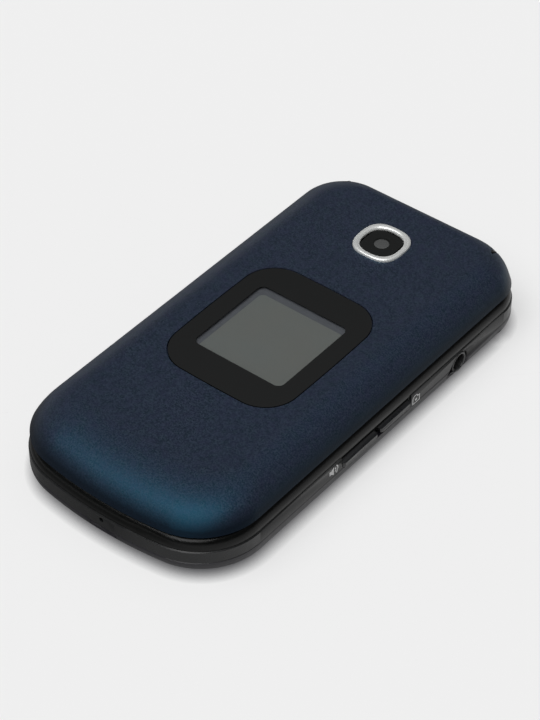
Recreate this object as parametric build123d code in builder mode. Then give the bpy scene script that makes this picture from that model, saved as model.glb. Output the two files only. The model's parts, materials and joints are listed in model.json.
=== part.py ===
"""Clamshell flip phone with an outer display, closed. All sizes are in millimetres.

+Z is up, X runs across the phone and Y along it. The hinge and the camera are at the +Y end, the
microphone at the -Y end and the side keys on the +X side. The origin is the centre of the underside.
The lid turns about an axis along X, inside its own rounded end.
"""

import os
from math import cos, radians, sin, sqrt

from build123d import *

os.makedirs("parts", exist_ok=True)

# ---------------------------------------------------------------- driving dimensions: the base
base_width = 52.6
base_length = 102.7
near_end_radius = 90.0  # the microphone end is slightly bowed
near_corner_radius = 14.2
far_corner_radius = 9.3
parting_height = 4.1  # top edge of the rear cover
band_height = 2.75  # side band of the middle housing
shoulder_height = 2.65  # front housing above the band
shoulder_radius = 2.2
shoulder_inset = 0.25  # the band stands out below the shoulder
edge_break = 0.2
rear_edge_height = 3.6  # the rear cover is drawn in below this height
rear_side_reach = 3.0
rear_near_reach = 6.0
rear_corner_change = 2.0
rear_wall = 1.0
side_wall = 1.3
deck_wall = 1.3
web_thickness = 0.6
seat_gap = 0.1  # between parts that are laid into each other

# ---------------------------------------------------------------- driving dimensions: the lid
lid_gap = 0.7  # from the deck to the lid's rim
lid_thickness = 5.3
lid_side_inset = 0.35
lid_near_inset = 0.5
lid_far_inset = 0.4
lid_rim_slope = 65.0  # steepest slope of the lid's domed edge, at its rim
lid_side_reach = 7.5  # how far the domed edge reaches inwards
lid_near_reach = 13.0
lid_near_corner_change = 5.0  # less corner radius on the flat top than at the rim
lid_far_corner_change = 1.5
lid_rim_wall = 2.0
dome_steps = 6
lid_wall = 1.1
frame_thickness = 1.2
glass_thickness = 0.8
window_width = 30.0
window_length = 36.4
window_y = -0.5
window_radius = 7.4
window_bow = 0.35
window_seam = 0.12
window_ledge = 1.2
screen_side_margin = 3.05
screen_near_margin = 14.5
screen_far_margin = 29.15
screen_frame = 1.5
screen_radius = 2.0
screen_recess = 0.15
camera_far_margin = 15.4
camera_half = 5.2
camera_ring = 1.4
camera_radius = 3.3
camera_proud = 0.6
camera_bow = 0.25
lens_radius = 1.75
camera_module_width = 8.5
display_thickness = 1.4
outer_display_side_margin = 1.0  # inside the window's ledge
outer_display_end_margin = 4.0
lid_board_thickness = 0.5
lid_board_side_margin = 5.8
lid_board_near_margin = 10.0
earpiece_margin = 7.4
earpiece_width = 9.4
earpiece_height = 1.8
earpiece_speaker_width = 13.0
earpiece_speaker_length = 5.6
bumper_radius = 1.5
bumper_clearance = 0.15
lid_screw_length = 2.2
lid_screw_near_margin = 6.6
lid_screw_corner_margin = 12.0
lid_screw_side_margin = 4.0

# ---------------------------------------------------------------- driving dimensions: the hinge
barrel_radius = 3.3
opening_angle = 150.0
hinge_side_margin = 7.0  # from the lid's side to the slot of an ear
ear_width = 5.5
ear_gap = 0.25
knuckle_radius = 2.4
knuckle_clearance = 0.25
neck_near_angle = -147.0  # the ear's neck, seen from the axis, from +Y towards +Z
neck_far_angle = -117.0
neck_clearance_angle = 5.0
trough_clearance = 0.3
cam_radius = 2.05
cam_length = 12.0
cam_inset = 1.0
cam_step = 0.45
cam_disc = 2.4
cam_lobe = 0.8
shaft_radius = 1.1
shaft_clearance = 0.05
pin_radius = 1.4
pin_bore_radius = 0.8
bush_length = 4.0
bulkhead = 1.0

# ---------------------------------------------------------------- driving dimensions: the keys
key_gap = 0.15
key_travel = 0.22
key_proud = 0.3
key_chamfer = 0.3
key_radius = 2.0
key_flange = 0.5
key_flange_height = 0.2
key_web = 1.6  # between number keys
keypad_side_margin = 4.0
keypad_near_margin = 10.0
keypad_rows = 4
ring_far_margin = 30.0  # from the hinge end of the base to the ring's centre
soft_key_length = 8.4
call_key_length = 9.4
clear_key_width = 11.0
clear_key_length = 6.0
function_key_web = 2.0
ring_radius = 10.2
ring_hole_radius = 4.6
ring_gap = 0.2
ok_radius = 4.35
pad_height = 0.24
pad_inner_radius = 4.9
pad_outer_radius = 6.9
rocker_y = -6.05
rocker_length = 10.8
camera_key_y = 5.4
camera_key_length = 9.7
side_key_bottom = 3.9
side_key_top = 6.4
side_key_gap = 0.15
rocker_proud = 0.45
side_key_room = 4.0  # through the web, behind the side keys
side_key_room_end = 1.0
camera_key_proud = 0.2
side_key_radius = 0.92
side_flange = 0.5
side_flange_gap = 0.25

# ---------------------------------------------------------------- driving dimensions: what is inside
battery_side_margin = 5.2  # from the inside of the wall: room for the side switches
battery_near_margin = 10.0
battery_far_margin = 42.0
battery_play = 0.2
battery_edge = 0.8
bay_wall = 0.9
board_thickness = 0.7
board_side_margin = 4.2
board_near_margin = 8.2
board_far_margin = 10.0
board_corner = 1.5
dome_sheet_thickness = 0.1
shield_width = 26.0
shield_length = 7.0
shield_height = 0.7
shield_wall = 0.2
jack_far_margin = 24.55
jack_radius = 1.75
jack_depth = 14.0
jack_width = 6.0
jack_collar_radius = 2.2
jack_scoop_depth = 0.5
jack_scoop_radius = 2.7
jack_scoop_tail = (-4.2, -1.1)  # from the jack's axis, along Y and Z
jack_ring_gap = 0.12
usb_far_margin = 32.0
usb_wall = 0.3
usb_width = 7.5
usb_height = 2.2
usb_depth = 5.6
microphone_x = 0.9
microphone_z = 5.75
microphone_hole_radius = 0.5
microphone_width = 4.0
microphone_length = 1.6
microphone_height = 1.8
screw_length = 2.4
screw_near_margin = 6.2
screw_corner_margin = 10.5
screw_far_margin = 17.0
screw_side_margin = 3.7
screw_radius = 0.7
screw_head_radius = 1.2
screw_head_height = 0.5
boss_radius = 1.5
speaker_x = -5.0
speaker_far_margin = 12.5
speaker_corner = 4.0
speaker_width = 15.0
speaker_length = 10.0
speaker_slots = 4
speaker_slot_length = 8.0
speaker_slot_width = 0.9
speaker_slot_pitch = 2.0
thumb_notch_x = 1.0
thumb_notch_width = 8.2
thumb_notch_depth = 0.8
thumb_notch_height = 1.4
contacts_width = 9.0
contacts_length = 3.0
contacts_height = 2.6
contacts_side_margin = 2.5
sim_jack_gap = 1.0
sim_usb_gap = 2.3
sim_gap = 0.6
sim_length = 12.4
sim_height = 1.4
sim_wall = 0.4
motor_x = 8.0
motor_far_margin = 10.0
motor_radius = 1.7
motor_length = 9.0
switch_depth = 1.5
switch_width = 2.8
switch_height = 1.8
switch_board = 0.4
switch_gap = 0.3  # from a side key's flange
switch_end_margin = 2.0  # from the rocker's ends
antenna_reach = 6.0
antenna_height = 1.1
antenna_thickness = 1.2
strap_notch_far_margin = 10.4
strap_notch_height = 1.4
strap_notch_width = 1.8

# ---------------------------------------------------------------- worked out from the sizes above
half_width = base_width / 2
half_length = base_length / 2
band_top = parting_height + band_height
deck_top = band_top + shoulder_height
deck_underside = deck_top - deck_wall
lid_bottom = deck_top + lid_gap
lid_top = lid_bottom + lid_thickness
lid_ceiling = lid_top - lid_wall
frame_top = lid_bottom + frame_thickness
hinge_y = half_length - lid_far_inset - barrel_radius
hinge_z = lid_top - barrel_radius
ear_outer = half_width - lid_side_inset - hinge_side_margin - ear_gap
ear_inner = ear_outer - ear_width
barrel_end = ear_inner - ear_gap
inside_half_width = half_width - side_wall

base_shape = {
    "half": half_width,
    "near": -half_length,
    "far": half_length,
    "near_corner": near_corner_radius,
    "far_corner": far_corner_radius,
}
lid_shape = {
    "half": half_width - lid_side_inset,
    "near": -half_length + lid_near_inset,
    "far": half_length - lid_far_inset,
    "near_corner": near_corner_radius - lid_side_inset,
    "far_corner": far_corner_radius - lid_side_inset,
}

earpiece_y = lid_shape["near"] + earpiece_margin
camera_y = lid_shape["far"] - camera_far_margin
screen_width = 2 * (lid_shape["half"] - lid_wall - screen_side_margin)
screen_near = lid_shape["near"] + screen_near_margin
screen_far = lid_shape["far"] - screen_far_margin
screen_length = screen_far - screen_near
screen_y = (screen_far + screen_near) / 2
lid_near_screw_y = lid_shape["near"] + lid_screw_near_margin
lid_near_screw_x = lid_shape["half"] - lid_screw_corner_margin
lid_far_screw_x = lid_shape["half"] - lid_screw_side_margin
lid_fastener_places = (
    (-lid_near_screw_x, lid_near_screw_y),
    (lid_near_screw_x, lid_near_screw_y),
    (-lid_far_screw_x, camera_y),
    (lid_far_screw_x, camera_y),
)

jack_y = half_length - jack_far_margin
usb_y = half_length - usb_far_margin
speaker_y = half_length - speaker_far_margin
near_screw_x = half_width - screw_corner_margin
far_screw_x = half_width - screw_side_margin
screw_places = (
    (-near_screw_x, -half_length + screw_near_margin),
    (near_screw_x, -half_length + screw_near_margin),
    (-far_screw_x, half_length - screw_far_margin),
    (far_screw_x, half_length - screw_far_margin),
)
battery_width = 2 * (inside_half_width - battery_side_margin)
battery_near = -half_length + battery_near_margin
battery_far = half_length - battery_far_margin
battery_y = (battery_far + battery_near) / 2
battery_length = battery_far - battery_near
board_width = 2 * (inside_half_width - board_side_margin)
board_near = -half_length + board_near_margin
board_far = half_length - board_far_margin

# Places of the keys: the ring and its neighbours from the hinge end, the numbers below them
keypad_half = half_width - keypad_side_margin
ring_y = half_length - ring_far_margin
function_key_width = keypad_half - ring_radius - ring_gap - function_key_web
function_column_x = keypad_half - function_key_width / 2
soft_key_y = ring_y + ring_gap + soft_key_length / 2 + function_key_web / 2
call_key_y = ring_y - ring_gap - call_key_length / 2 - function_key_web / 2
clear_key_y = ring_y - ring_radius - clear_key_length / 2 - function_key_web
numbers_far = clear_key_y - clear_key_length / 2 - function_key_web
numbers_near = -half_length + keypad_near_margin
row_pitch = (numbers_far - numbers_near + key_web) / keypad_rows
number_key_length = row_pitch - key_web
first_row_y = numbers_far - number_key_length / 2
column_pitch = (2 * keypad_half + key_web) / 3
number_key_width = column_pitch - key_web

# Heights inside the base, from the rear cover upwards
bay_floor = rear_wall + seat_gap
jack_z = parting_height - 0.05
board_top = deck_underside - 2 * key_travel - key_flange_height - dome_sheet_thickness - 0.05
board_bottom = board_top - board_thickness
web_bottom = board_bottom - web_thickness
dome_top = board_top + dome_sheet_thickness
key_top = deck_top + key_proud
flange_top = deck_underside - key_travel / 4

# Heights inside the lid, from the screen outwards
lid_board_bottom = frame_top + display_thickness + seat_gap
lid_board_top = lid_board_bottom + lid_board_thickness

CENTRED = (Align.CENTER, Align.CENTER, Align.MIN)
HANGING = (Align.CENTER, Align.CENTER, Align.MAX)
INWARDS = (Align.MAX, Align.CENTER, Align.CENTER)
OUTWARDS = (Align.MIN, Align.CENTER, Align.CENTER)


def outline(shape, height, inset=0.0):
    """Plan outline of the base or the lid at a height, moved inwards by inset."""
    half = shape["half"] - inset
    near = shape["near"] + inset
    far = shape["far"] - inset
    bow = near_end_radius - inset
    corner_y = near + bow - sqrt(bow**2 - half**2)
    with BuildSketch(Plane.XY.offset(height)) as profile:
        with BuildLine():
            ThreePointArc((-half, corner_y), (0, near), (half, corner_y))
            Polyline((half, corner_y), (half, far), (-half, far), (-half, corner_y))
        make_face()
        fillet(profile.vertices().group_by(Axis.Y)[0], shape["near_corner"] - inset)
        fillet(profile.vertices().group_by(Axis.Y)[-1], shape["far_corner"] - inset)
    return profile.sketch


def drawn_in(shape, side, near, far, near_corners, far_corners):
    """The same outline with its sides and ends moved inwards and its corners made tighter."""
    return {
        "half": shape["half"] - side,
        "near": shape["near"] + near,
        "far": shape["far"] - far,
        "near_corner": shape["near_corner"] - near_corners,
        "far_corner": shape["far_corner"] - far_corners,
    }


def arc_share(step, steepest):
    """How far inwards and how far along the height a domed edge is at a step, from 0 to 1."""
    slope = radians(steepest * (1 - step / dome_steps))
    start = radians(steepest)
    return 1 - sin(slope) / sin(start), (cos(slope) - cos(start)) / (1 - cos(start))


def domed_lid(shape, bottom, top, barrel, side_reach, near_reach):
    """A lid whose sides and near end rise as a shallow dome, and whose far end is the barrel's."""
    sections = []
    for step in range(dome_steps + 1):
        inwards, upwards = arc_share(step, lid_rim_slope)
        height = bottom + (top - bottom) * upwards
        above_axis = min(max(height - hinge_z, 0), barrel)
        far = barrel - sqrt(barrel**2 - above_axis**2)
        sections.append(
            outline(
                drawn_in(
                    shape, side_reach * inwards, near_reach * inwards, far,
                    lid_near_corner_change * inwards, lid_far_corner_change * inwards,
                ),
                height,
            )
        )
    return loft(sections)


def rear_shell(shape, bottom, mode=Mode.ADD):
    """The lower half of the rear cover, drawn in all round, and most at the near end."""
    sections = []
    for step in range(dome_steps + 1):
        inwards, downwards = arc_share(step, 90)
        side = rear_side_reach * inwards
        corners = rear_corner_change * inwards
        sections.append(
            outline(
                drawn_in(shape, side, rear_near_reach * inwards, side, corners, corners),
                rear_edge_height + (bottom - rear_edge_height) * downwards,
            )
        )
    return loft(sections, mode=mode)


def bowed_rectangle(centre, width, length, radius, bow, inset=0.0):
    """Rounded rectangle whose four sides swell outwards by bow, moved inwards by inset."""
    x = width / 2 - inset
    y = length / 2 - inset
    with BuildSketch(Plane(centre)) as profile:
        with BuildLine():
            ThreePointArc((-x + bow, -y + bow), (0, -y), (x - bow, -y + bow))
            ThreePointArc((x - bow, -y + bow), (x, 0), (x - bow, y - bow))
            ThreePointArc((x - bow, y - bow), (0, y), (-x + bow, y - bow))
            ThreePointArc((-x + bow, y - bow), (-x, 0), (-x + bow, -y + bow))
        make_face()
        fillet(profile.vertices(), radius - inset)
    return profile.sketch


def rounded_rectangle(centre, width, length, radius):
    with BuildSketch(Plane(centre)) as profile:
        RectangleRounded(width, length, radius)
    return profile.sketch


def round_face(centre, radius, direction=(0, 0, 1)):
    with BuildSketch(Plane(centre, z_dir=direction)) as profile:
        Circle(radius)
    return profile.sketch


def on_hinge(radius, angle):
    """A point of the YZ plane at a radius and an angle from the hinge axis."""
    return (hinge_y + radius * cos(radians(angle)), hinge_z + radius * sin(radians(angle)))


def hinge_disc(x, radius):
    """A disc about the hinge axis at a place along it, facing +X."""
    with BuildSketch(Plane.YZ.offset(x)) as profile:
        with Locations((hinge_y, hinge_z)):
            Circle(radius)
    return profile.sketch


def below_barrel(radius):
    """Side view of the waste under the rounded hinge end, outside a radius from the axis."""
    reach = barrel_radius + lid_wall
    with BuildSketch(Plane.YZ) as profile:
        with BuildLine():
            CenterArc((hinge_y, hinge_z), radius, -90, 90)
            Polyline(
                (hinge_y + radius, hinge_z),
                (hinge_y + reach, hinge_z),
                (hinge_y + reach, hinge_z - reach),
                (hinge_y, hinge_z - reach),
                (hinge_y, hinge_z - radius),
            )
        make_face()
    return profile.sketch


def jack_scoop():
    """The teardrop hollow round the headset jack's mouth, half in each housing part."""
    plane = Plane((half_width - jack_scoop_depth, jack_y, jack_z), x_dir=(0, 1, 0), z_dir=(1, 0, 0))
    with BuildPart() as scoop:
        with BuildSketch(plane):
            Circle(jack_scoop_radius)
            with Locations(jack_scoop_tail):
                Circle(0.2)
            make_hull()
        extrude(amount=2 * jack_scoop_depth)
    return scoop.part


def save(piece, name):
    piece.part.label = name
    export_step(piece.part, f"parts/{name}.step")


# ================================================================ lid
# The hollow inside the cover, and the slots that let the base's two ears in.
rim_change = lid_rim_wall - lid_wall
lid_inner_shape = drawn_in(
    lid_shape, lid_rim_wall, lid_rim_wall, lid_wall, lid_rim_wall, lid_rim_wall,
)
with BuildPart() as lid_cavity:
    extrude(
        outline(lid_inner_shape, lid_bottom - lid_wall), amount=frame_thickness + lid_wall,
    )
    domed_lid(
        lid_inner_shape, frame_top, lid_ceiling, barrel_radius - lid_wall,
        lid_side_reach - rim_change, lid_near_reach - rim_change,
    )
    extrude(below_barrel(barrel_radius - lid_wall), amount=base_width, both=True, mode=Mode.SUBTRACT)

slot_near_angle = neck_near_angle - neck_clearance_angle
slot_far_angle = neck_far_angle + opening_angle + neck_clearance_angle
slot_reach = 2 * barrel_radius

with BuildPart() as ear_slots:
    for start in (-ear_outer - ear_gap, barrel_end):
        with BuildSketch(Plane.YZ.offset(start)) as slot:
            with BuildLine():
                Polyline(
                    (hinge_y, hinge_z),
                    on_hinge(slot_reach, slot_far_angle),
                    (hinge_y + slot_reach, hinge_z),
                    (hinge_y + slot_reach, hinge_z - slot_reach),
                    (hinge_y - slot_reach, hinge_z - slot_reach),
                    on_hinge(slot_reach, slot_near_angle),
                    close=True,
                )
            make_face()
            with Locations((hinge_y, hinge_z)):
                Circle(knuckle_radius + knuckle_clearance)
        extrude(amount=ear_width + 2 * ear_gap)

with BuildPart() as lid_cover:
    domed_lid(lid_shape, lid_bottom, lid_top, barrel_radius, lid_side_reach, lid_near_reach)
    extrude(below_barrel(barrel_radius), amount=base_width, both=True, mode=Mode.SUBTRACT)
    add(lid_cavity.part, mode=Mode.SUBTRACT)
    # Bulkheads close the hollow beside each ear, and screw bosses hang from the ceiling.
    with BuildPart(mode=Mode.PRIVATE) as bulkheads:
        for x in (barrel_end - bulkhead / 2, ear_outer + ear_gap + bulkhead / 2):
            for side in (-1, 1):
                with Locations((side * x, camera_y + camera_half + 0.4, frame_top)):
                    Box(bulkhead, half_length, lid_thickness, align=(Align.CENTER, Align.MIN, Align.MIN))
        for x, y in lid_fastener_places:
            extrude(round_face((x, y, frame_top), boss_radius), amount=lid_ceiling - frame_top)
        add(lid_cavity.part, mode=Mode.INTERSECT)
        extrude(
            hinge_disc(-barrel_end, cam_radius + shaft_clearance),
            amount=2 * barrel_end,
            mode=Mode.SUBTRACT,
        )
    add(bulkheads.part)
    for x, y in lid_fastener_places:
        extrude(
            round_face((x, y, frame_top), screw_radius), amount=lid_screw_length,
            mode=Mode.SUBTRACT,
        )
    add(ear_slots.part, mode=Mode.SUBTRACT)
    # Outer window: a pocket for the glass over a ledge, and a hole for the display.
    window_floor = lid_top - glass_thickness
    extrude(
        bowed_rectangle(
            (0, window_y, window_floor), window_width, window_length, window_radius, window_bow,
            -window_seam,
        ),
        amount=2 * glass_thickness,
        mode=Mode.SUBTRACT,
    )
    extrude(
        bowed_rectangle(
            (0, window_y, lid_ceiling - 1), window_width, window_length, window_radius, window_bow,
            window_ledge,
        ),
        amount=2 * lid_wall,
        mode=Mode.SUBTRACT,
    )
    # Camera hole
    extrude(
        bowed_rectangle(
            (0, camera_y, lid_ceiling - 1), 2 * camera_half, 2 * camera_half, camera_radius,
            camera_bow, -window_seam,
        ),
        amount=3 * lid_wall,
        mode=Mode.SUBTRACT,
    )
save(lid_cover, "lid_cover")

screw_head_bottom = lid_bottom + screw_head_height + seat_gap
with BuildPart() as lid_front_frame:
    extrude(outline(lid_inner_shape, lid_bottom, seat_gap), amount=frame_thickness)
    extrude(
        below_barrel(barrel_radius - lid_wall - seat_gap), amount=base_width, both=True,
        mode=Mode.SUBTRACT,
    )
    add(ear_slots.part, mode=Mode.SUBTRACT)
    # Room for the hinge between the ears
    with Locations((0, hinge_y - cam_radius, lid_bottom)):
        Box(
            2 * (ear_outer + ear_gap), 2 * barrel_radius, 2 * frame_thickness,
            align=(Align.CENTER, Align.MIN, Align.CENTER), mode=Mode.SUBTRACT,
        )
    # Screen: a pocket for the glass from below, and a smaller hole for the display
    extrude(
        rounded_rectangle(
            (0, screen_y, lid_bottom), screen_width + 2 * seat_gap, screen_length + 2 * seat_gap,
            screen_radius,
        ),
        amount=screen_recess + glass_thickness,
        mode=Mode.SUBTRACT,
    )
    extrude(
        rounded_rectangle(
            (0, screen_y, lid_bottom), screen_width - 2 * screen_frame, screen_length - 2 * screen_frame,
            screen_radius,
        ),
        amount=frame_thickness,
        mode=Mode.SUBTRACT,
    )
    # Earpiece slot
    with BuildSketch(Plane((0, earpiece_y, lid_bottom))) as slot:
        SlotOverall(earpiece_width, earpiece_height)
    extrude(amount=frame_thickness, mode=Mode.SUBTRACT)
    # Pockets for the rubber bumpers, with the screws above them
    for x, y in lid_fastener_places:
        extrude(
            round_face((x, y, lid_bottom), bumper_radius + seat_gap / 2), amount=screw_head_height,
            mode=Mode.SUBTRACT,
        )
        extrude(
            round_face((x, y, lid_bottom), screw_head_radius + seat_gap / 2),
            amount=2 * screw_head_height,
            mode=Mode.SUBTRACT,
        )
        extrude(
            round_face((x, y, lid_bottom), screw_radius), amount=frame_thickness, mode=Mode.SUBTRACT,
        )
save(lid_front_frame, "lid_front_frame")

with BuildPart() as hinge_barrel:
    extrude(hinge_disc(-barrel_end, barrel_radius), amount=2 * barrel_end)
    split(bisect_by=Plane.XY.offset(lid_bottom), keep=Keep.BOTTOM)
    extrude(hinge_disc(-barrel_end, cam_radius), amount=2 * barrel_end, mode=Mode.SUBTRACT)
save(hinge_barrel, "hinge_barrel")

with BuildPart() as main_display_window:
    extrude(
        rounded_rectangle(
            (0, screen_y, lid_bottom + screen_recess), screen_width, screen_length, screen_radius,
        ),
        amount=glass_thickness,
    )
save(main_display_window, "main_display_window")

with BuildPart() as main_display_module:
    with Locations((0, screen_y, frame_top)):
        Box(
            screen_width - screen_frame, screen_length - screen_frame, display_thickness,
            align=CENTRED,
        )
    chamfer(main_display_module.edges().filter_by(Axis.Z), 0.5)
save(main_display_module, "main_display_module")

with BuildPart() as outer_display_window:
    extrude(
        bowed_rectangle(
            (0, window_y, window_floor), window_width, window_length, window_radius, window_bow,
        ),
        amount=glass_thickness,
    )
save(outer_display_window, "outer_display_window")

with BuildPart() as outer_display_module:
    with Locations((0, window_y, lid_board_top)):
        Box(
            window_width - 2 * (window_ledge + outer_display_side_margin),
            window_length - 2 * (window_ledge + outer_display_end_margin),
            lid_ceiling - lid_board_top - seat_gap, align=CENTRED,
        )
    chamfer(outer_display_module.edges().filter_by(Axis.Z), 0.5)
save(outer_display_module, "outer_display_module")

with BuildPart() as camera_bezel:
    ring_height = lid_wall + camera_proud
    flange = 0.6
    extrude(
        bowed_rectangle(
            (0, camera_y, lid_ceiling), 2 * camera_half, 2 * camera_half, camera_radius, camera_bow,
        ),
        amount=ring_height,
    )
    fillet(camera_bezel.faces().sort_by(Axis.Z)[-1].edges(), camera_proud * 0.9)
    extrude(
        bowed_rectangle(
            (0, camera_y, lid_ceiling - flange), 2 * camera_half, 2 * camera_half, camera_radius,
            camera_bow, -flange,
        ),
        amount=flange,
    )
    ledge = camera_ring + 0.5
    extrude(
        bowed_rectangle(
            (0, camera_y, lid_ceiling - flange), 2 * camera_half, 2 * camera_half, camera_radius,
            camera_bow, ledge,
        ),
        amount=2 * ring_height,
        mode=Mode.SUBTRACT,
    )
    extrude(
        bowed_rectangle(
            (0, camera_y, lid_ceiling + flange / 2), 2 * camera_half, 2 * camera_half, camera_radius,
            camera_bow, camera_ring,
        ),
        amount=2 * ring_height,
        mode=Mode.SUBTRACT,
    )
save(camera_bezel, "camera_bezel")

with BuildPart() as camera_window:
    extrude(
        bowed_rectangle(
            (0, camera_y, lid_ceiling + flange / 2), 2 * camera_half, 2 * camera_half, camera_radius,
            camera_bow, camera_ring + 0.03,
        ),
        amount=glass_thickness,
    )
    extrude(
        round_face((0, camera_y, lid_ceiling), lens_radius + 0.03), amount=2 * glass_thickness,
        mode=Mode.SUBTRACT,
    )
save(camera_window, "camera_window")

camera_module_top = lid_ceiling - flange
with BuildPart() as camera_lens:
    extrude(
        round_face((0, camera_y, camera_module_top), lens_radius),
        amount=lid_ceiling + flange / 2 + 0.7 * glass_thickness - camera_module_top,
    )
    chamfer(camera_lens.faces().sort_by(Axis.Z)[-1].edges(), 0.25)
save(camera_lens, "camera_lens")

with BuildPart() as camera_module:
    with Locations((0, camera_y, frame_top + seat_gap)):
        Box(
            camera_module_width, camera_module_width, camera_module_top - frame_top - seat_gap,
            align=CENTRED,
        )
    chamfer(camera_module.edges().filter_by(Axis.Z), 0.6)
save(camera_module, "camera_module")

with BuildPart() as earpiece_speaker:
    extrude(
        rounded_rectangle(
            (0, earpiece_y, frame_top), earpiece_speaker_width, earpiece_speaker_length,
            earpiece_speaker_length / 2 - seat_gap,
        ),
        amount=display_thickness,
    )
save(earpiece_speaker, "earpiece_speaker")

with BuildPart() as earpiece_grille:
    with BuildSketch(Plane((0, earpiece_y, lid_bottom + 0.3))) as slot:
        SlotOverall(earpiece_width - seat_gap, earpiece_height - seat_gap)
        with GridLocations(1.2, 1, 6, 1):
            SlotOverall(0.9, 0.45, rotation=90, mode=Mode.SUBTRACT)
    extrude(amount=frame_thickness - 0.3)
save(earpiece_grille, "earpiece_grille")

with BuildPart() as lid_board:
    lid_board_near = lid_shape["near"] + lid_board_near_margin
    lid_board_far = camera_y - camera_half
    lid_board_width = 2 * (lid_shape["half"] - lid_wall - lid_board_side_margin)
    with BuildSketch(Plane((0, (lid_board_near + lid_board_far) / 2, lid_board_bottom))) as board:
        RectangleRounded(lid_board_width, lid_board_far - lid_board_near, board_corner)
    extrude(amount=lid_board_thickness)
save(lid_board, "lid_board")

with BuildPart() as lid_screws:
    for x, y in lid_fastener_places:
        extrude(
            round_face((x, y, screw_head_bottom), screw_head_radius),
            amount=screw_head_height - seat_gap,
        )
        extrude(round_face((x, y, screw_head_bottom), screw_radius), amount=lid_screw_length)
save(lid_screws, "lid_screws")

with BuildPart() as lid_bumpers:
    bumper_bottom = deck_top + bumper_clearance
    for x, y in lid_fastener_places:
        extrude(
            round_face((x, y, bumper_bottom), bumper_radius),
            amount=lid_bottom + screw_head_height - bumper_bottom,
        )
    chamfer(lid_bumpers.faces().group_by(Axis.Z)[0].edges(), 0.25)
save(lid_bumpers, "lid_bumpers")

# ================================================================ hinge
cam_mouth = barrel_end - 0.15
with BuildPart() as hinge_cam_housing:
    extrude(hinge_disc(-cam_mouth, cam_radius), amount=cam_length)
    extrude(
        hinge_disc(-cam_mouth, shaft_radius + cam_step + shaft_clearance), amount=cam_length - bulkhead,
        mode=Mode.SUBTRACT,
    )
save(hinge_cam_housing, "hinge_cam_housing")

with BuildPart() as hinge_cam_shaft:
    extrude(
        hinge_disc(-ear_outer + bulkhead, shaft_radius),
        amount=ear_outer - bulkhead - cam_mouth + cam_inset,
    )
    extrude(hinge_disc(-cam_mouth + cam_inset, shaft_radius + cam_step), amount=cam_disc)
    # A lobe across the cam's end face holds the lid shut and open.
    with Locations((-cam_mouth + cam_inset + cam_disc, hinge_y, hinge_z)):
        Box(cam_lobe, 2 * cam_lobe, 2 * shaft_radius, align=OUTWARDS)
save(hinge_cam_shaft, "hinge_cam_shaft")

with BuildPart() as hinge_bush:
    extrude(hinge_disc(cam_mouth - bush_length, cam_radius), amount=bush_length)
    extrude(
        hinge_disc(cam_mouth - bush_length, pin_radius + shaft_clearance), amount=bush_length,
        mode=Mode.SUBTRACT,
    )
save(hinge_bush, "hinge_bush")

with BuildPart() as hinge_pin:
    pin_length = ear_outer - bulkhead - cam_mouth + bush_length
    extrude(hinge_disc(cam_mouth - bush_length, pin_radius), amount=pin_length)
    extrude(
        hinge_disc(cam_mouth - bush_length, pin_bore_radius), amount=pin_length, mode=Mode.SUBTRACT,
    )
save(hinge_pin, "hinge_pin")

# ================================================================ keys
columns = (-column_pitch, 0.0, column_pitch)
number_names = ("1", "2", "3", "4", "5", "6", "7", "8", "9", "star", "0", "hash")
keys = {}
for index, name in enumerate(number_names):
    place = (columns[index % 3], first_row_y - row_pitch * (index // 3))
    keys[f"key_{name}"] = (*place, number_key_width, number_key_length)
for side, soft_name, call_name in ((-1, "soft_key_left", "call_key"), (1, "soft_key_right", "end_key")):
    keys[soft_name] = (side * function_column_x, soft_key_y, function_key_width, soft_key_length)
    keys[call_name] = (side * function_column_x, call_key_y, function_key_width, call_key_length)
keys["clear_key"] = (0.0, clear_key_y, clear_key_width, clear_key_length)

for name, (x, y, width, length) in keys.items():
    with BuildPart() as key:
        extrude(
            rounded_rectangle((x, y, flange_top), width, length, key_radius),
            amount=key_top - flange_top,
        )
        chamfer(key.faces().sort_by(Axis.Z)[-1].edges(), key_chamfer)
        with Locations((x, y, flange_top - key_flange_height)):
            Box(width + key_flange, length + key_flange, key_flange_height, align=CENTRED)
    save(key, name)

with BuildPart() as ok_key:
    ok_bottom = dome_top + key_travel + 0.05
    extrude(round_face((0, ring_y, ok_bottom), ok_radius), amount=key_top - 0.1 - ok_bottom)
    chamfer(ok_key.faces().sort_by(Axis.Z)[-1].edges(), key_chamfer)
save(ok_key, "ok_key")

pad_bottom = dome_top + 0.16
pad_top = pad_bottom + pad_height
with BuildPart() as nav_pad:
    extrude(round_face((0, ring_y, pad_bottom), pad_outer_radius), amount=pad_height)
    extrude(round_face((0, ring_y, pad_bottom), pad_inner_radius), amount=pad_height, mode=Mode.SUBTRACT)
save(nav_pad, "nav_pad")

with BuildPart() as nav_ring:
    ring_bottom = dome_top + 0.22
    ring_step = pad_outer_radius + 0.3
    with BuildSketch(Plane.XZ.offset(-ring_y)) as section:
        with BuildLine():
            Polyline(
                (ring_step, ring_bottom),
                (ring_radius + 0.6, ring_bottom),
                (ring_radius + 0.6, ring_bottom + 0.2),
                (ring_radius, ring_bottom + 0.2),
                (ring_radius, key_top - 0.3),
                (ring_radius - 0.4, key_top),
                (ring_radius - 1.6, key_top),
                (ring_hole_radius, key_top - 0.5),
                (ring_hole_radius, pad_top + 0.15),
                (ring_step, pad_top + 0.15),
                close=True,
            )
        make_face()
    revolve(axis=Axis((0, ring_y, 0), (0, 0, 1)))
save(nav_ring, "nav_ring")

side_wall_inner = inside_half_width
side_key_height = side_key_top - side_key_bottom
side_key_z = (side_key_top + side_key_bottom) / 2


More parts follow.
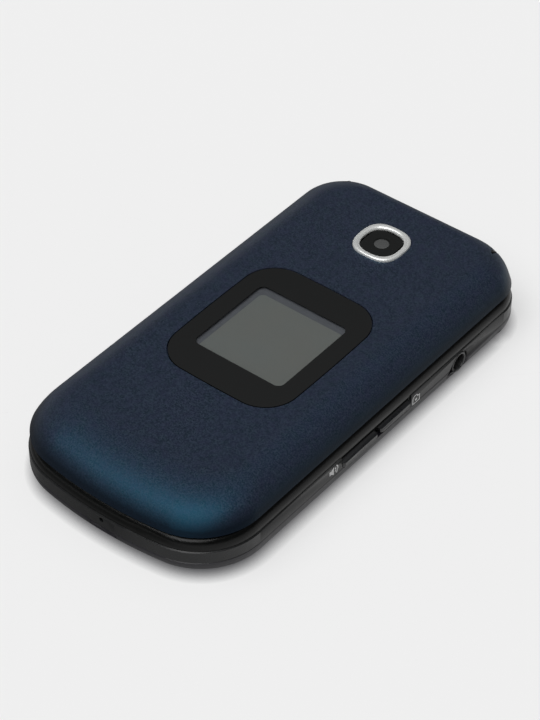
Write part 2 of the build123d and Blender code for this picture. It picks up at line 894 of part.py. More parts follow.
def side_key(y, length, proud):
    """A key in the side band: a rounded cap outside and a flange behind the wall."""
    with BuildPart() as key:
        with BuildSketch(Plane((side_wall_inner, y, side_key_z), x_dir=(0, 1, 0), z_dir=(1, 0, 0))):
            RectangleRounded(length, side_key_height, side_key_radius)
        extrude(amount=side_wall + proud)
        chamfer(key.faces().sort_by(Axis.X)[-1].edges(), min(0.4, proud + 0.1))
        with Locations((side_wall_inner - side_flange_gap, y, side_key_z)):
            Box(side_flange, length + 0.2, side_key_height + 0.5, align=INWARDS)
            Box(side_flange_gap, length - 1, side_key_height - 0.6, align=OUTWARDS)
    return key


slot_low_y = rocker_y - rocker_length / 2 - side_key_gap
slot_high_y = camera_key_y + camera_key_length / 2 + side_key_gap
slot_y = (slot_low_y + slot_high_y) / 2
slot_length = slot_high_y - slot_low_y


def side_key_slot():
    """The opening that both side keys share, half in each housing part."""
    with BuildPart() as slot:
        with BuildSketch(Plane((half_width, slot_y, side_key_z), x_dir=(0, 1, 0), z_dir=(1, 0, 0))):
            RectangleRounded(
                slot_length, side_key_height + 2 * side_key_gap, side_key_radius + side_key_gap,
            )
        extrude(amount=2 * side_wall, both=True)
    return slot.part


volume_rocker = side_key(rocker_y, rocker_length, rocker_proud)
save(volume_rocker, "volume_rocker")
camera_key = side_key(camera_key_y, camera_key_length, camera_key_proud)
save(camera_key, "camera_key")

# ================================================================ base: front housing
with BuildPart() as front_housing:
    extrude(outline(base_shape, band_top, shoulder_inset), amount=shoulder_height)
    fillet(front_housing.faces().sort_by(Axis.Z)[-1].edges(), shoulder_radius)
    extrude(
        outline(base_shape, band_top, side_wall + 0.2), amount=shoulder_height - deck_wall,
        mode=Mode.SUBTRACT,
    )
    # Trough under the lid's barrel
    extrude(
        hinge_disc(-half_width, barrel_radius + trough_clearance), amount=base_width,
        mode=Mode.SUBTRACT,
    )
    # Two ears lean forward and carry the hinge.
    ear_root = hinge_z - deck_top + deck_wall / 2
    for start in (-ear_outer, ear_inner):
        with BuildSketch(Plane.YZ.offset(start)) as ear:
            with BuildLine():
                Polyline(
                    (hinge_y, hinge_z),
                    on_hinge(-ear_root / sin(radians(neck_near_angle)), neck_near_angle),
                    on_hinge(-ear_root / sin(radians(neck_far_angle)), neck_far_angle),
                    close=True,
                )
            make_face()
            with Locations((hinge_y, hinge_z)):
                Circle(knuckle_radius)
        extrude(amount=ear_width)
    extrude(hinge_disc(-ear_outer + bulkhead, shaft_radius), amount=ear_width, mode=Mode.SUBTRACT)
    extrude(hinge_disc(ear_outer - bulkhead, pin_radius), amount=-ear_width, mode=Mode.SUBTRACT)
    # Key openings
    for x, y, width, length in keys.values():
        extrude(
            rounded_rectangle(
                (x, y, deck_underside), width + 2 * key_gap, length + 2 * key_gap,
                key_radius + key_gap,
            ),
            amount=deck_wall,
            mode=Mode.SUBTRACT,
        )
    extrude(
        round_face((0, ring_y, deck_underside), ring_radius + ring_gap), amount=deck_wall,
        mode=Mode.SUBTRACT,
    )
    # Screw bosses
    for x, y in screw_places:
        extrude(round_face((x, y, board_bottom), boss_radius), amount=deck_underside - board_bottom)
        extrude(
            round_face((x, y, board_bottom), screw_radius), amount=deck_underside - board_bottom,
            mode=Mode.SUBTRACT,
        )
save(front_housing, "front_housing")

# ================================================================ base: middle housing
jack_inner = half_width - jack_depth
near_wall_y = -half_length + side_wall
usb_bottom = board_bottom - usb_height

with BuildPart() as middle_housing:
    extrude(outline(base_shape, parting_height), amount=band_height)
    chamfer(middle_housing.faces().sort_by(Axis.Z)[-1].edges(), edge_break)
    extrude(outline(base_shape, parting_height, side_wall), amount=band_height, mode=Mode.SUBTRACT)
    extrude(outline(base_shape, web_bottom, side_wall), amount=web_thickness)
    # Battery bay under the web
    with Locations((0, battery_y, bay_floor)):
        Box(
            battery_width + 2 * (bay_wall + battery_play),
            battery_length + 2 * (bay_wall + battery_play),
            web_bottom - bay_floor, align=CENTRED,
        )
        Box(
            battery_width + 2 * battery_play, battery_length + 2 * battery_play,
            web_bottom - bay_floor, align=CENTRED,
            mode=Mode.SUBTRACT,
        )
    # Side key slot through the band, and room behind it in the web
    add(side_key_slot(), mode=Mode.SUBTRACT)
    with Locations((inside_half_width, slot_y, web_bottom + web_thickness / 2)):
        Box(
            side_key_room, slot_length + 2 * side_key_room_end, web_thickness, align=INWARDS,
            mode=Mode.SUBTRACT,
        )
    # Headset jack, charging socket and microphone openings
    extrude(
        round_face((half_width + 1, jack_y, jack_z), jack_collar_radius + jack_ring_gap, (1, 0, 0)),
        amount=-(2 * side_wall),
        mode=Mode.SUBTRACT,
    )
    add(jack_scoop(), mode=Mode.SUBTRACT)
    with Locations((-half_width, usb_y, parting_height)):
        Box(
            4 * side_wall, usb_width + 2 * seat_gap, board_bottom - parting_height, align=CENTRED,
            mode=Mode.SUBTRACT,
        )
    with Locations((-inside_half_width, usb_y, web_bottom + web_thickness / 2)):
        Box(
            usb_wall + usb_depth - side_wall + 2 * seat_gap, usb_width + 2 * seat_gap, web_thickness,
            align=OUTWARDS, mode=Mode.SUBTRACT,
        )
    extrude(
        round_face((microphone_x, -half_length - 1, microphone_z), microphone_hole_radius, (0, 1, 0)),
        amount=side_wall + 2,
        mode=Mode.SUBTRACT,
    )
    for x, y in screw_places:
        extrude(
            round_face((x, y, web_bottom), screw_radius + 0.05), amount=web_thickness,
            mode=Mode.SUBTRACT,
        )
save(middle_housing, "middle_housing")

# ================================================================ base: rear cover
with BuildPart() as rear_cover:
    extrude(outline(base_shape, rear_edge_height), amount=parting_height - rear_edge_height)
    rear_shell(base_shape, 0)
    chamfer(rear_cover.faces().sort_by(Axis.Z)[-1].edges(), edge_break)
    rear_inner_shape = drawn_in(base_shape, *[side_wall] * 5)
    extrude(outline(rear_inner_shape, rear_edge_height), amount=parting_height, mode=Mode.SUBTRACT)
    rear_shell(rear_inner_shape, rear_wall, Mode.SUBTRACT)
    # Thumb notch at the microphone end
    notch_radius = ((thumb_notch_width / 2) ** 2 + thumb_notch_depth**2) / (2 * thumb_notch_depth)
    with Locations((thumb_notch_x, -half_length + thumb_notch_depth - notch_radius, parting_height)):
        Cylinder(notch_radius, 2 * thumb_notch_height, mode=Mode.SUBTRACT)
    # Recess under the side keys
    add(side_key_slot(), mode=Mode.SUBTRACT)
    # Headset jack: the hole, a pocket for its body, and a scoop beside its mouth
    extrude(
        round_face((half_width + 1, jack_y, jack_z), jack_collar_radius + jack_ring_gap, (1, 0, 0)),
        amount=-(2 * side_wall + 0.4),
        mode=Mode.SUBTRACT,
    )
    jack_bottom = jack_z - jack_radius - 0.4
    with Locations((jack_inner + (jack_depth - side_wall) / 2, jack_y, jack_bottom - seat_gap / 2)):
        Box(
            jack_depth - side_wall + 0.1, jack_width + seat_gap, parting_height, align=CENTRED,
            mode=Mode.SUBTRACT,
        )
    add(jack_scoop(), mode=Mode.SUBTRACT)
    # Strap notch near the hinge end
    with Locations((half_width, half_length - strap_notch_far_margin, rear_wall)):
        Box(3 * side_wall, strap_notch_width, strap_notch_height, align=CENTRED, mode=Mode.SUBTRACT)
    # Loudspeaker slots
    with BuildSketch(Plane((speaker_x, speaker_y, 0))) as slots:
        with GridLocations(1, speaker_slot_pitch, 1, speaker_slots):
            SlotOverall(speaker_slot_length, speaker_slot_width)
    extrude(amount=rear_wall, mode=Mode.SUBTRACT)
save(rear_cover, "rear_cover")

# ================================================================ base: what is inside
with BuildPart() as battery:
    with Locations((0, battery_y, bay_floor)):
        Box(battery_width, battery_length, web_bottom - bay_floor - seat_gap, align=CENTRED)
    fillet(battery.edges().filter_by(Axis.Y), battery_edge)
save(battery, "battery")

with BuildPart() as main_board:
    board_centre = (board_near + board_far) / 2
    with BuildSketch(Plane((0, board_centre, board_bottom))) as board:
        RectangleRounded(board_width, board_far - board_near, board_corner)
    extrude(amount=board_thickness)
save(main_board, "main_board")

with BuildPart() as shield_can:
    with Locations((0, board_far - shield_length / 2 - 0.6, board_top)):
        Box(shield_width, shield_length, shield_height, align=CENTRED)
        Box(
            shield_width - 2 * shield_wall, shield_length - 2 * shield_wall,
            shield_height - shield_wall, align=CENTRED, mode=Mode.SUBTRACT,
        )
save(shield_can, "shield_can")

with BuildPart() as dome_sheet:
    sheet_far = board_far - shield_length - 1.2
    with BuildSketch(Plane((0, (board_near + sheet_far) / 2, board_top))) as sheet:
        RectangleRounded(board_width, sheet_far - board_near, board_corner)
    extrude(amount=dome_sheet_thickness)
save(dome_sheet, "dome_sheet")

contacts_y = battery_far + battery_play + bay_wall
with BuildPart() as battery_contacts:
    contacts_x = -battery_width / 2 + contacts_side_margin + contacts_width / 2
    with Locations((contacts_x, contacts_y + contacts_length / 2, web_bottom)):
        Box(contacts_width, contacts_length, contacts_height, align=HANGING)
save(battery_contacts, "battery_contacts")

# Two card holders side by side, open towards the battery
sim_low_x = -half_width + usb_wall + usb_depth + sim_usb_gap
sim_high_x = jack_inner - sim_jack_gap
sim_width = (sim_high_x - sim_low_x - sim_gap) / 2
with BuildPart() as sim_sockets:
    with BuildSketch(Plane.XZ.offset(-contacts_y - contacts_length - 0.4)) as holders:
        for x in (sim_low_x + sim_width / 2, sim_high_x - sim_width / 2):
            with Locations((x, web_bottom)):
                Rectangle(sim_width, sim_height, align=HANGING[1:])
                Rectangle(
                    sim_width - 2 * sim_wall, sim_height - sim_wall, align=HANGING[1:],
                    mode=Mode.SUBTRACT,
                )
    extrude(amount=-sim_length)
save(sim_sockets, "sim_sockets")

with BuildPart() as loudspeaker:
    extrude(
        rounded_rectangle(
            (speaker_x, speaker_y, bay_floor), speaker_width, speaker_length, speaker_corner,
        ),
        amount=web_bottom - bay_floor,
    )
save(loudspeaker, "loudspeaker")

with BuildPart() as vibration_motor:
    motor_y = half_length - motor_far_margin
    extrude(
        round_face((motor_x, motor_y, web_bottom - motor_radius), motor_radius, (1, 0, 0)),
        amount=motor_length,
    )
save(vibration_motor, "vibration_motor")

with BuildPart() as microphone:
    with Locations((microphone_x, near_wall_y + seat_gap + microphone_length / 2, web_bottom)):
        Box(microphone_width, microphone_length, microphone_height, align=HANGING)
save(microphone, "microphone")

with BuildPart() as headset_jack:
    jack_top = web_bottom
    body_length = jack_depth - side_wall - 0.1
    with Locations((jack_inner + body_length / 2, jack_y, jack_bottom)):
        Box(body_length, jack_width, jack_top - jack_bottom, align=CENTRED)
    extrude(
        round_face((jack_inner + body_length, jack_y, jack_z), jack_collar_radius, (1, 0, 0)),
        amount=side_wall - 0.2,
    )
    extrude(
        round_face((jack_inner + 1, jack_y, jack_z), jack_radius, (1, 0, 0)), amount=jack_depth,
        mode=Mode.SUBTRACT,
    )
save(headset_jack, "headset_jack")

with BuildPart() as usb_socket:
    usb_x = -half_width + usb_wall + usb_depth / 2
    with Locations((usb_x, usb_y, usb_bottom + usb_height / 2)):
        Box(usb_depth, usb_width, usb_height)
        with Locations((-2 * usb_wall, 0, 0)):
            Box(
                usb_depth, usb_width - 2 * usb_wall, usb_height - 2 * usb_wall, mode=Mode.SUBTRACT,
            )
        # The contact tongue
        with Locations((usb_wall, 0, 0)):
            Box(usb_depth - 2 * usb_wall, usb_width - 8 * usb_wall, 2 * usb_wall)
save(usb_socket, "usb_socket")

with BuildPart() as side_key_switches:
    flange_back = side_wall_inner - side_flange - side_flange_gap
    switch_x = flange_back - switch_gap
    with Locations((switch_x - switch_depth, slot_y, side_key_z)):
        Box(switch_board, slot_length - switch_width, side_key_height, align=INWARDS)
    switch_spread = rocker_length / 2 - switch_end_margin
    for y in (rocker_y - switch_spread, rocker_y + switch_spread, camera_key_y):
        with Locations((switch_x, y, side_key_z)):
            Box(switch_depth, switch_width, switch_height, align=INWARDS)
save(side_key_switches, "side_key_switches")

with BuildPart() as housing_screws:
    for x, y in screw_places:
        head_bottom = web_bottom - screw_head_height
        extrude(round_face((x, y, head_bottom), screw_head_radius), amount=screw_head_height)
        extrude(round_face((x, y, head_bottom), screw_radius), amount=screw_length)
save(housing_screws, "housing_screws")

with BuildPart() as antenna:
    antenna_inset = side_wall + 2 * seat_gap
    antenna_bottom = rear_edge_height - antenna_height / 2
    extrude(outline(base_shape, antenna_bottom, antenna_inset), amount=antenna_height)
    extrude(
        outline(base_shape, antenna_bottom, antenna_inset + antenna_thickness), amount=antenna_height,
        mode=Mode.SUBTRACT,
    )
    split(bisect_by=Plane((0, -half_length + antenna_reach, 0), z_dir=(0, 1, 0)), keep=Keep.BOTTOM)
save(antenna, "antenna")
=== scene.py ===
import json
from math import cos, pi, radians, sin

import bmesh
import bpy
from mathutils import Matrix, Vector


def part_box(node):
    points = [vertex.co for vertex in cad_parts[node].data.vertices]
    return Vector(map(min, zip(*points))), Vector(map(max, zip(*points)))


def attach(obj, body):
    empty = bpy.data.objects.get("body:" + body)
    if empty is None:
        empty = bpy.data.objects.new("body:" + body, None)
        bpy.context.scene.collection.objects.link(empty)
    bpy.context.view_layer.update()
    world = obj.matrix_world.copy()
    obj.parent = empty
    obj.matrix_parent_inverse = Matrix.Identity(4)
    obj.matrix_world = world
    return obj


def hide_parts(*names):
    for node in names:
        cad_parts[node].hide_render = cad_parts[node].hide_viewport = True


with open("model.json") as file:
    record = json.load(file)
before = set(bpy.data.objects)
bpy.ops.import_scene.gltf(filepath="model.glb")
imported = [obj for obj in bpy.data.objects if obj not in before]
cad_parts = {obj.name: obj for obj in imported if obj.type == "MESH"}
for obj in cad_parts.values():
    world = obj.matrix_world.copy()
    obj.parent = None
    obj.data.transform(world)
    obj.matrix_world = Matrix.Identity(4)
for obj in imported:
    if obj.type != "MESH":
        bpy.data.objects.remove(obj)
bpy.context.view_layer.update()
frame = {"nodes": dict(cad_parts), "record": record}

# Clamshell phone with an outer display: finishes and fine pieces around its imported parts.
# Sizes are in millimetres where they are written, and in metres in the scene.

MM = 0.001
WELD = 0.0005 * MM      # corners closer than this are one corner
CREASE = 32             # edges that turn by more degrees than this stay sharp
FLAT_ANGLE = 0.2        # faces that turn by fewer degrees than this are one face
LAYER = 0.012           # a printed or bonded layer stands this far off what it lies on
CUT_CLEARANCE = 1       # a cutter reaches this far past what it cuts

NODES = frame["nodes"]
RECORD = frame["record"]
BODY_OF = {name: body for body, names in RECORD["behaviour"]["bodies"].items() for name in names}
SLOT_OF = {part["node"]: part["material_slot"] for part in RECORD["subparts"]}


# ------------------------------------------------------------------------------ small helpers
def linear(hex_code):
    """An sRGB hex colour as linear red, green, blue and alpha."""
    values = [int(hex_code[i:i + 2], 16) / 255 for i in (1, 3, 5)]
    return tuple(v / 12.92 if v <= 0.04045 else ((v + 0.055) / 1.055) ** 2.4 for v in values) + (1.0,)


def add_node(tree, kind, settings=None, inputs=None):
    """Adds a node. An input's value is a plain value, or the socket that it is linked from."""
    node = tree.nodes.new(kind)
    for name, value in (settings or {}).items():
        setattr(node, name, value)
    for name, value in (inputs or {}).items():
        if isinstance(value, bpy.types.NodeSocket):
            tree.links.new(value, node.inputs[name])
        else:
            node.inputs[name].default_value = value
    return node


def add_object(name, data):
    thing = bpy.data.objects.new(name, data)
    bpy.context.scene.collection.objects.link(thing)
    return thing


def box_mm(node):
    """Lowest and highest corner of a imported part, in millimetres."""
    low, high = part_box(node)
    return low / MM, high / MM


def middle_of(node):
    """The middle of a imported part's box, in millimetres."""
    low, high = box_mm(node)
    return (low + high) / 2


def moved(x, y, z):
    """A move by millimetres."""
    return Matrix.Translation((x * MM, y * MM, z * MM))


TOWARDS_X = Matrix.Rotation(pi / 2, 4, "Y")


# ------------------------------------------------------------------------------ camera
CAMERA_AZIMUTH = 38.74
CAMERA_ELEVATION = 42.20
CAMERA_DISTANCE = 462.0
LOOK_AT = Vector((0, -0.05, 7.84))
LENS = 117.7
FRAME_SHIFT = (-0.0026, 0.0048)


def place_camera():
    azimuth, elevation = radians(CAMERA_AZIMUTH), radians(CAMERA_ELEVATION)
    back = Vector((sin(azimuth) * cos(elevation), -cos(azimuth) * cos(elevation), sin(elevation)))
    data = bpy.data.cameras.new("camera")
    data.sensor_fit = "AUTO"
    data.sensor_width = 36
    data.lens = LENS
    data.shift_x, data.shift_y = FRAME_SHIFT
    data.clip_start = 0.01
    camera = add_object("camera", data)
    camera.location = (LOOK_AT + CAMERA_DISTANCE * back) * MM
    camera.rotation_euler = (-back).to_track_quat("-Z", "Y").to_euler()
    bpy.context.scene.camera = camera


# ------------------------------------------------------------------------------ materials
def start_material(name):
    material = bpy.data.materials.new(name)
    material.use_nodes = True
    material.node_tree.nodes.clear()
    return material, material.node_tree


def end_material(tree, inputs):
    """One Principled surface, joined to the material's output."""
    shader = add_node(tree, "ShaderNodeBsdfPrincipled", inputs=inputs)
    add_node(tree, "ShaderNodeOutputMaterial", inputs={"Surface": shader.outputs["BSDF"]})


def noise(tree, size, detail=2.0, roughness=0.5, stretch=(1, 1, 1)):
    """Noise whose features are about size millimetres across, on the part's own coordinates."""
    place = add_node(tree, "ShaderNodeTexCoord").outputs["Object"]
    if stretch != (1, 1, 1):
        place = add_node(
            tree, "ShaderNodeMapping", inputs={"Vector": place, "Scale": stretch}
        ).outputs["Vector"]
    return add_node(
        tree, "ShaderNodeTexNoise",
        inputs={
            "Vector": place, "Scale": 1 / (size * MM), "Detail": detail, "Roughness": roughness,
        },
    ).outputs["Fac"]


def between(tree, factor, low, high, start=0.0, end=1.0):
    """A number that goes from low to high as factor goes from start to end."""
    return add_node(
        tree, "ShaderNodeMapRange",
        inputs={
            "Value": factor, "From Min": start, "From Max": end, "To Min": low, "To Max": high,
        },
    ).outputs["Result"]


def blend_colours(tree, factor, low, high):
    """A colour between two colours, or the sockets that carry them."""
    return add_node(
        tree, "ShaderNodeMix", {"data_type": "RGBA"}, {0: factor, 6: low, 7: high}
    ).outputs[2]


def bump(tree, height, depth):
    """Normals of a surface whose height swings by depth millimetres."""
    return add_node(
        tree, "ShaderNodeBump", inputs={"Height": height, "Distance": depth * MM, "Strength": 1.0}
    ).outputs["Normal"]


# Sizes are in millimetres. A glint is the tint of the shine, at the rim and on the open lid.
LACQUER_GROUND = ("#14161f", "#2e333f")
LACQUER_CLOUD = "#29243a"
# The rim's colour is painted shade: below the crown the lid's sides fade to it.
LACQUER_RIM_SHADE = "#10131a"
RIM_GLINT = "#1d5c78"
FLAKE_GLINT = "#36a6cc"
FLAKE_SIZE = 0.32
FLAKE_DEPTH = 0.03
CLOUD_SIZE = 1.6
RIM_FADE = (11.0 * MM, 13.3 * MM)


def pearl_lacquer():
    """Pearl lacquer, sprayed on moulded ABS: a dark blue ground with blue-green flakes, which light
    up where a lamp glances off them, under a satin clear lacquer that shows no sharp reflection. The
    flakes are drawn about 0.3 mm across, coarser than real ones, so that they show. Below the crown,
    towards the rim, the colour fades to a darker one, which is painted shade on the lid's sides, and
    the tint of the shine changes with it."""
    material, tree = start_material("Pearl lacquer")
    flakes = noise(tree, FLAKE_SIZE, 3.0, 0.7)
    clouds = noise(tree, CLOUD_SIZE, 2.0)
    place = add_node(tree, "ShaderNodeTexCoord").outputs["Object"]
    height = add_node(tree, "ShaderNodeSeparateXYZ", inputs={"Vector": place}).outputs["Z"]
    # Painted shade: the colour darkens towards the rim below the crown, and the shine's tint changes
    # with it.
    rim_shade_and_tint = between(tree, height, 0, 1, *RIM_FADE)
    dark, light = LACQUER_GROUND
    ground = blend_colours(
        tree, between(tree, flakes, 0, 1, 0.4, 0.62), linear(dark), linear(light)
    )
    colour = blend_colours(
        tree, between(tree, clouds, 0, 0.4, 0.3, 0.7), ground, linear(LACQUER_CLOUD)
    )
    colour = blend_colours(tree, rim_shade_and_tint, linear(LACQUER_RIM_SHADE), colour)
    end_material(tree, {
        "Base Color": colour,
        "Roughness": between(tree, flakes, 0.34, 0.48, 0.3, 0.7),
        "Specular IOR Level": 0.68,
        "Specular Tint": blend_colours(tree, rim_shade_and_tint, linear(RIM_GLINT), linear(FLAKE_GLINT)),
        "Normal": bump(tree, flakes, FLAKE_DEPTH),
    })
    return material


def moulded_plastic(name, low, high, roughness=0.5, grain=0.3, depth=0.02, gloss=0.5):
    """Injection moulded plastic: a spark eroded grain of a given size in millimetres, which breaks
    up the shine, and a slightly uneven colour."""
    material, tree = start_material(name)
    fine = noise(tree, grain, 2.0, 0.6)
    patches = noise(tree, 6 * grain)
    end_material(tree, {
        "Base Color": blend_colours(
            tree, between(tree, fine, 0, 1, 0.3, 0.7), linear(low), linear(high)
        ),
        "Roughness": between(tree, patches, roughness - 0.05, roughness + 0.05, 0.3, 0.7),
        "Specular IOR Level": gloss,
        "Normal": bump(tree, fine, depth),
    })
    return material


ACRYLIC_IOR = 1.49


def gloss_acrylic(name, colour, roughness=0.07):
    """Hard coated PMMA, printed black from behind: deep and glossy, with a faint unevenness from
    handling that only shows in its reflections."""
    material, tree = start_material(name)
    smears = noise(tree, 4.0, 3.0)
    end_material(tree, {
        "Base Color": linear(colour),
        "Roughness": between(tree, smears, roughness, roughness + 0.05, 0.3, 0.7),
        "IOR": ACRYLIC_IOR,
        "Normal": bump(tree, noise(tree, 9.0), 0.004),
    })
    return material


def clear_acrylic():
    """The clear middle of a hard coated PMMA window, thin enough to be all but invisible."""
    material, tree = start_material("Clear acrylic")
    end_material(tree, {
        "Base Color": linear("#050505"),
        "Roughness": between(tree, noise(tree, 5.0), 0.02, 0.05),
        "IOR": ACRYLIC_IOR,
        "Alpha": 0.1,
    })
    return material


def liquid_crystal(name, colour, pitch):
    """A reflective LCD that is switched off: grey glass over a fine grid of picture elements."""
    material, tree = start_material(name)
    place = add_node(tree, "ShaderNodeTexCoord").outputs["Object"]
    grid = add_node(
        tree, "ShaderNodeTexBrick", {"offset": 0.0},
        {
            "Vector": place, "Scale": 1 / (pitch * MM), "Mortar Size": 0.06,
            "Brick Width": 1.0, "Row Height": 1.0,
        },
    ).outputs["Fac"]
    tint = blend_colours(tree, noise(tree, 14.0), linear(colour[0]), linear(colour[1]))
    end_material(tree, {
        "Base Color": blend_colours(tree, between(tree, grid, 0, 0.18), tint, linear("#0c0d0d")),
        "Roughness": between(tree, noise(tree, 3.0), 0.28, 0.36),
        "Specular IOR Level": 0.2,
    })
    return material


def worked_metal(name, colour, roughness, mark_size):
    """Pressed, woven or plated metal: faint marks of the tool break its highlights up."""
    material, tree = start_material(name)
    marks = noise(tree, mark_size, 2.0)
    end_material(tree, {
        "Base Color": linear(colour),
        "Metallic": 1.0,
        "Roughness": between(tree, marks, roughness, roughness + 0.12, 0.3, 0.7),
        "Normal": bump(tree, marks, 0.004),
    })
    return material


def silver_lacquer():
    """Fine aluminium flake lacquer over plated plastic: bright and even from every side, with a soft
    highlight along its crown."""
    material, tree = start_material("Silver lacquer")
    flakes = noise(tree, 0.2, 2.0)
    end_material(tree, {
        "Base Color": blend_colours(tree, flakes, linear("#e0e2e1"), linear("#e4e5e3")),
        "Metallic": 0.5,
        "Roughness": between(tree, flakes, 0.22, 0.3, 0.3, 0.7),
        "Normal": bump(tree, flakes, 0.001),
    })
    return material


def moulded_rubber():
    """Silicone rubber: soft, dark and dusty, with almost no shine."""
    material, tree = start_material("Silicone rubber")
    dust = noise(tree, 0.5, 3.0)
    end_material(tree, {
        "Base Color": blend_colours(tree, dust, linear("#18191a"), linear("#2c2d2e")),
        "Roughness": between(tree, dust, 0.7, 0.85),
        "Specular IOR Level": 0.3,
        "Normal": bump(tree, dust, 0.01),
    })
    return material


def circuit_board():
    """Glass fibre laminate under green solder mask, with copper that shows through as lighter
    runs."""
    material, tree = start_material("Solder mask on laminate")
    runs = noise(tree, 1.2, 1.0, 0.5, (1, 0.25, 1))
    end_material(tree, {
        "Base Color": blend_colours(
            tree, between(tree, runs, 0, 1, 0.48, 0.52), linear("#0d3a26"), linear("#17543a")
        ),
        "Roughness": 0.35,
        "Normal": bump(tree, runs, 0.02),
    })
    return material


def printed_ink(name, fresh, worn):
    """Pad printed ink: matt and a little uneven where it meets the grain."""
    material, tree = start_material(name)
    wear = noise(tree, 0.25, 3.0)
    end_material(tree, {
        "Base Color": blend_colours(
            tree, between(tree, wear, 0, 0.6, 0.35, 0.75), linear(fresh), linear(worn)
        ),
        "Roughness": 0.6,
    })
    return material


RING_CENTRE = (0, 21.35)
TURNING_PITCH = 0.25


def spun_metal(name, colour, centre):
    """Aluminium turned on a lathe and anodised: fine rings about its middle draw its highlights out
    into two fans."""
    material, tree = start_material(name)
    place = add_node(tree, "ShaderNodeTexCoord").outputs["Object"]
    from_middle = add_node(
        tree, "ShaderNodeMapping",
        inputs={
            "Vector": place, "Location": (-centre[0] * MM, -centre[1] * MM, 0), "Scale": (1, 1, 0),
        },
    ).outputs["Vector"]
    radius = add_node(
        tree, "ShaderNodeVectorMath", {"operation": "LENGTH"}, {0: from_middle}
    ).outputs["Value"]
    rings = add_node(
        tree, "ShaderNodeTexNoise", {"noise_dimensions": "1D"},
        {"W": radius, "Scale": 1 / (TURNING_PITCH * MM), "Detail": 2.0},
    ).outputs["Fac"]
    end_material(tree, {
        "Base Color": linear(colour),
        "Metallic": 1.0,
        "Roughness": between(tree, rings, 0.2, 0.36, 0.3, 0.7),
        "Normal": bump(tree, rings, 0.012),
    })
    return material


def well_shade_finish():
    """Painted shade for the back of the hollow above the side keys: a dead black sheet with a fine
    open celled bump, and no shine at all.
    """
    material, tree = start_material("Painted well shade")
    cells = noise(tree, 0.2, 3.0)
    end_material(tree, {
        "Base Color": blend_colours(tree, cells, linear("#0c0d0d"), linear("#1b1c1c")),
        "Roughness": 0.95,
        "Specular IOR Level": 0.1,
        "Normal": bump(tree, cells, 0.05),
    })
    return material


PAPER = "#f0f0f0"
PAPER_GLOW = 0.55           # the share of its own light in what the camera sees
PAPER_TO_OBJECT = "#6c6c6c"
CONTACT_SHADOW = "#33333b"
CONTACT_REACH = 2.8
DIM_PAPER = "#141414"       # what reflections show on the left
DIM_SHARE = 0.75
DIM_FADE = (0, 34 * MM)     # where across the paper that ends


def studio_floor():
    """Matt pale paper. To the camera and in reflections it glows a little of itself, so that only a
    light shadow shows on it, and a narrow dark one where the object almost touches it; to the object
    it is a grey that throws little light up. Reflections show it darker on the left, which leaves the
    left sides of the object deep in tone."""
    material, tree = start_material("Pale paper")
    path = add_node(tree, "ShaderNodeLightPath").outputs
    place = add_node(tree, "ShaderNodeTexCoord").outputs["Object"]
    across = add_node(tree, "ShaderNodeSeparateXYZ", inputs={"Vector": place}).outputs["X"]
    dimmed = add_node(tree, "ShaderNodeMath", {"operation": "MULTIPLY"}, {
        0: path["Is Glossy Ray"], 1: between(tree, across, DIM_SHARE, 0, *DIM_FADE),
    }).outputs["Value"]
    open_sky = add_node(
        tree, "ShaderNodeAmbientOcclusion", {"samples": 8}, {"Distance": CONTACT_REACH * MM}
    ).outputs["AO"]
    lit = blend_colours(tree, open_sky, linear(CONTACT_SHADOW), linear(PAPER))
    sheet = blend_colours(tree, dimmed, lit, linear(DIM_PAPER))
    seen = path["Is Camera Ray"]
    for ray in ("Is Glossy Ray", "Is Transmission Ray"):
        seen = add_node(
            tree, "ShaderNodeMath", {"operation": "MAXIMUM"}, {0: seen, 1: path[ray]}
        ).outputs["Value"]
    paper = add_node(
        tree, "ShaderNodeBsdfDiffuse",
        inputs={"Color": blend_colours(tree, seen, linear(PAPER_TO_OBJECT), sheet)},
    )
    glow = add_node(tree, "ShaderNodeEmission", inputs={"Color": sheet, "Strength": 1.0})
    mixed = add_node(
        tree, "ShaderNodeMixShader",
        inputs={
            0: between(tree, seen, 0, PAPER_GLOW), 1: paper.outputs["BSDF"],
            2: glow.outputs["Emission"],
        },
    )
    add_node(tree, "ShaderNodeOutputMaterial", inputs={"Surface": mixed.outputs["Shader"]})
    return material


LACQUER = pearl_lacquer()
# The base's shell: nearly black, with a fine grain that scatters what little shine it has.
BLACK_ABS = moulded_plastic("Grained black ABS", "#030404", "#0a0b0a", 0.2, 0.22, 0.026, 0.2)
# The band round the side: smoother and greyer, with one long soft highlight.
BAND_ABS = moulded_plastic("Satin grey ABS", "#111213", "#191a1b", 0.3, 0.25, 0.008, 0.4)
# The rear cover: satin like the band, and a shade warmer and lighter.
COVER_ABS = moulded_plastic("Satin cover ABS", "#17161a", "#222127", 0.36, 0.25, 0.008, 0.45)
# The keys in the side: lighter than the band, so that their edges read.
SIDE_KEY = moulded_plastic("Satin side key", "#1e1f21", "#28292b", 0.3, 0.25, 0.004, 0.5)
# The keypad: hard and smooth, with small crisp highlights along the edges.
KEY_PLASTIC = moulded_plastic("Hard coated polycarbonate", "#101114", "#18191c", 0.22, 0.4, 0.004)
# Carriers inside: rough and dull.
INNER_PLASTIC = moulded_plastic("Moulded carrier nylon", "#101011", "#1b1b1c", 0.6, 0.5, 0.02)
# The battery's wrap: smooth, and a little puckered.
WRAP = moulded_plastic("Shrink wrapped aluminium", "#26272b", "#303136", 0.35, 1.5, 0.01)
PRINTED_WINDOW = gloss_acrylic("Black printed acrylic", "#121313")
CLEAR = clear_acrylic()
OUTER_LCD = liquid_crystal("Outer display glass", ("#6e7574", "#72726d"), 0.3)
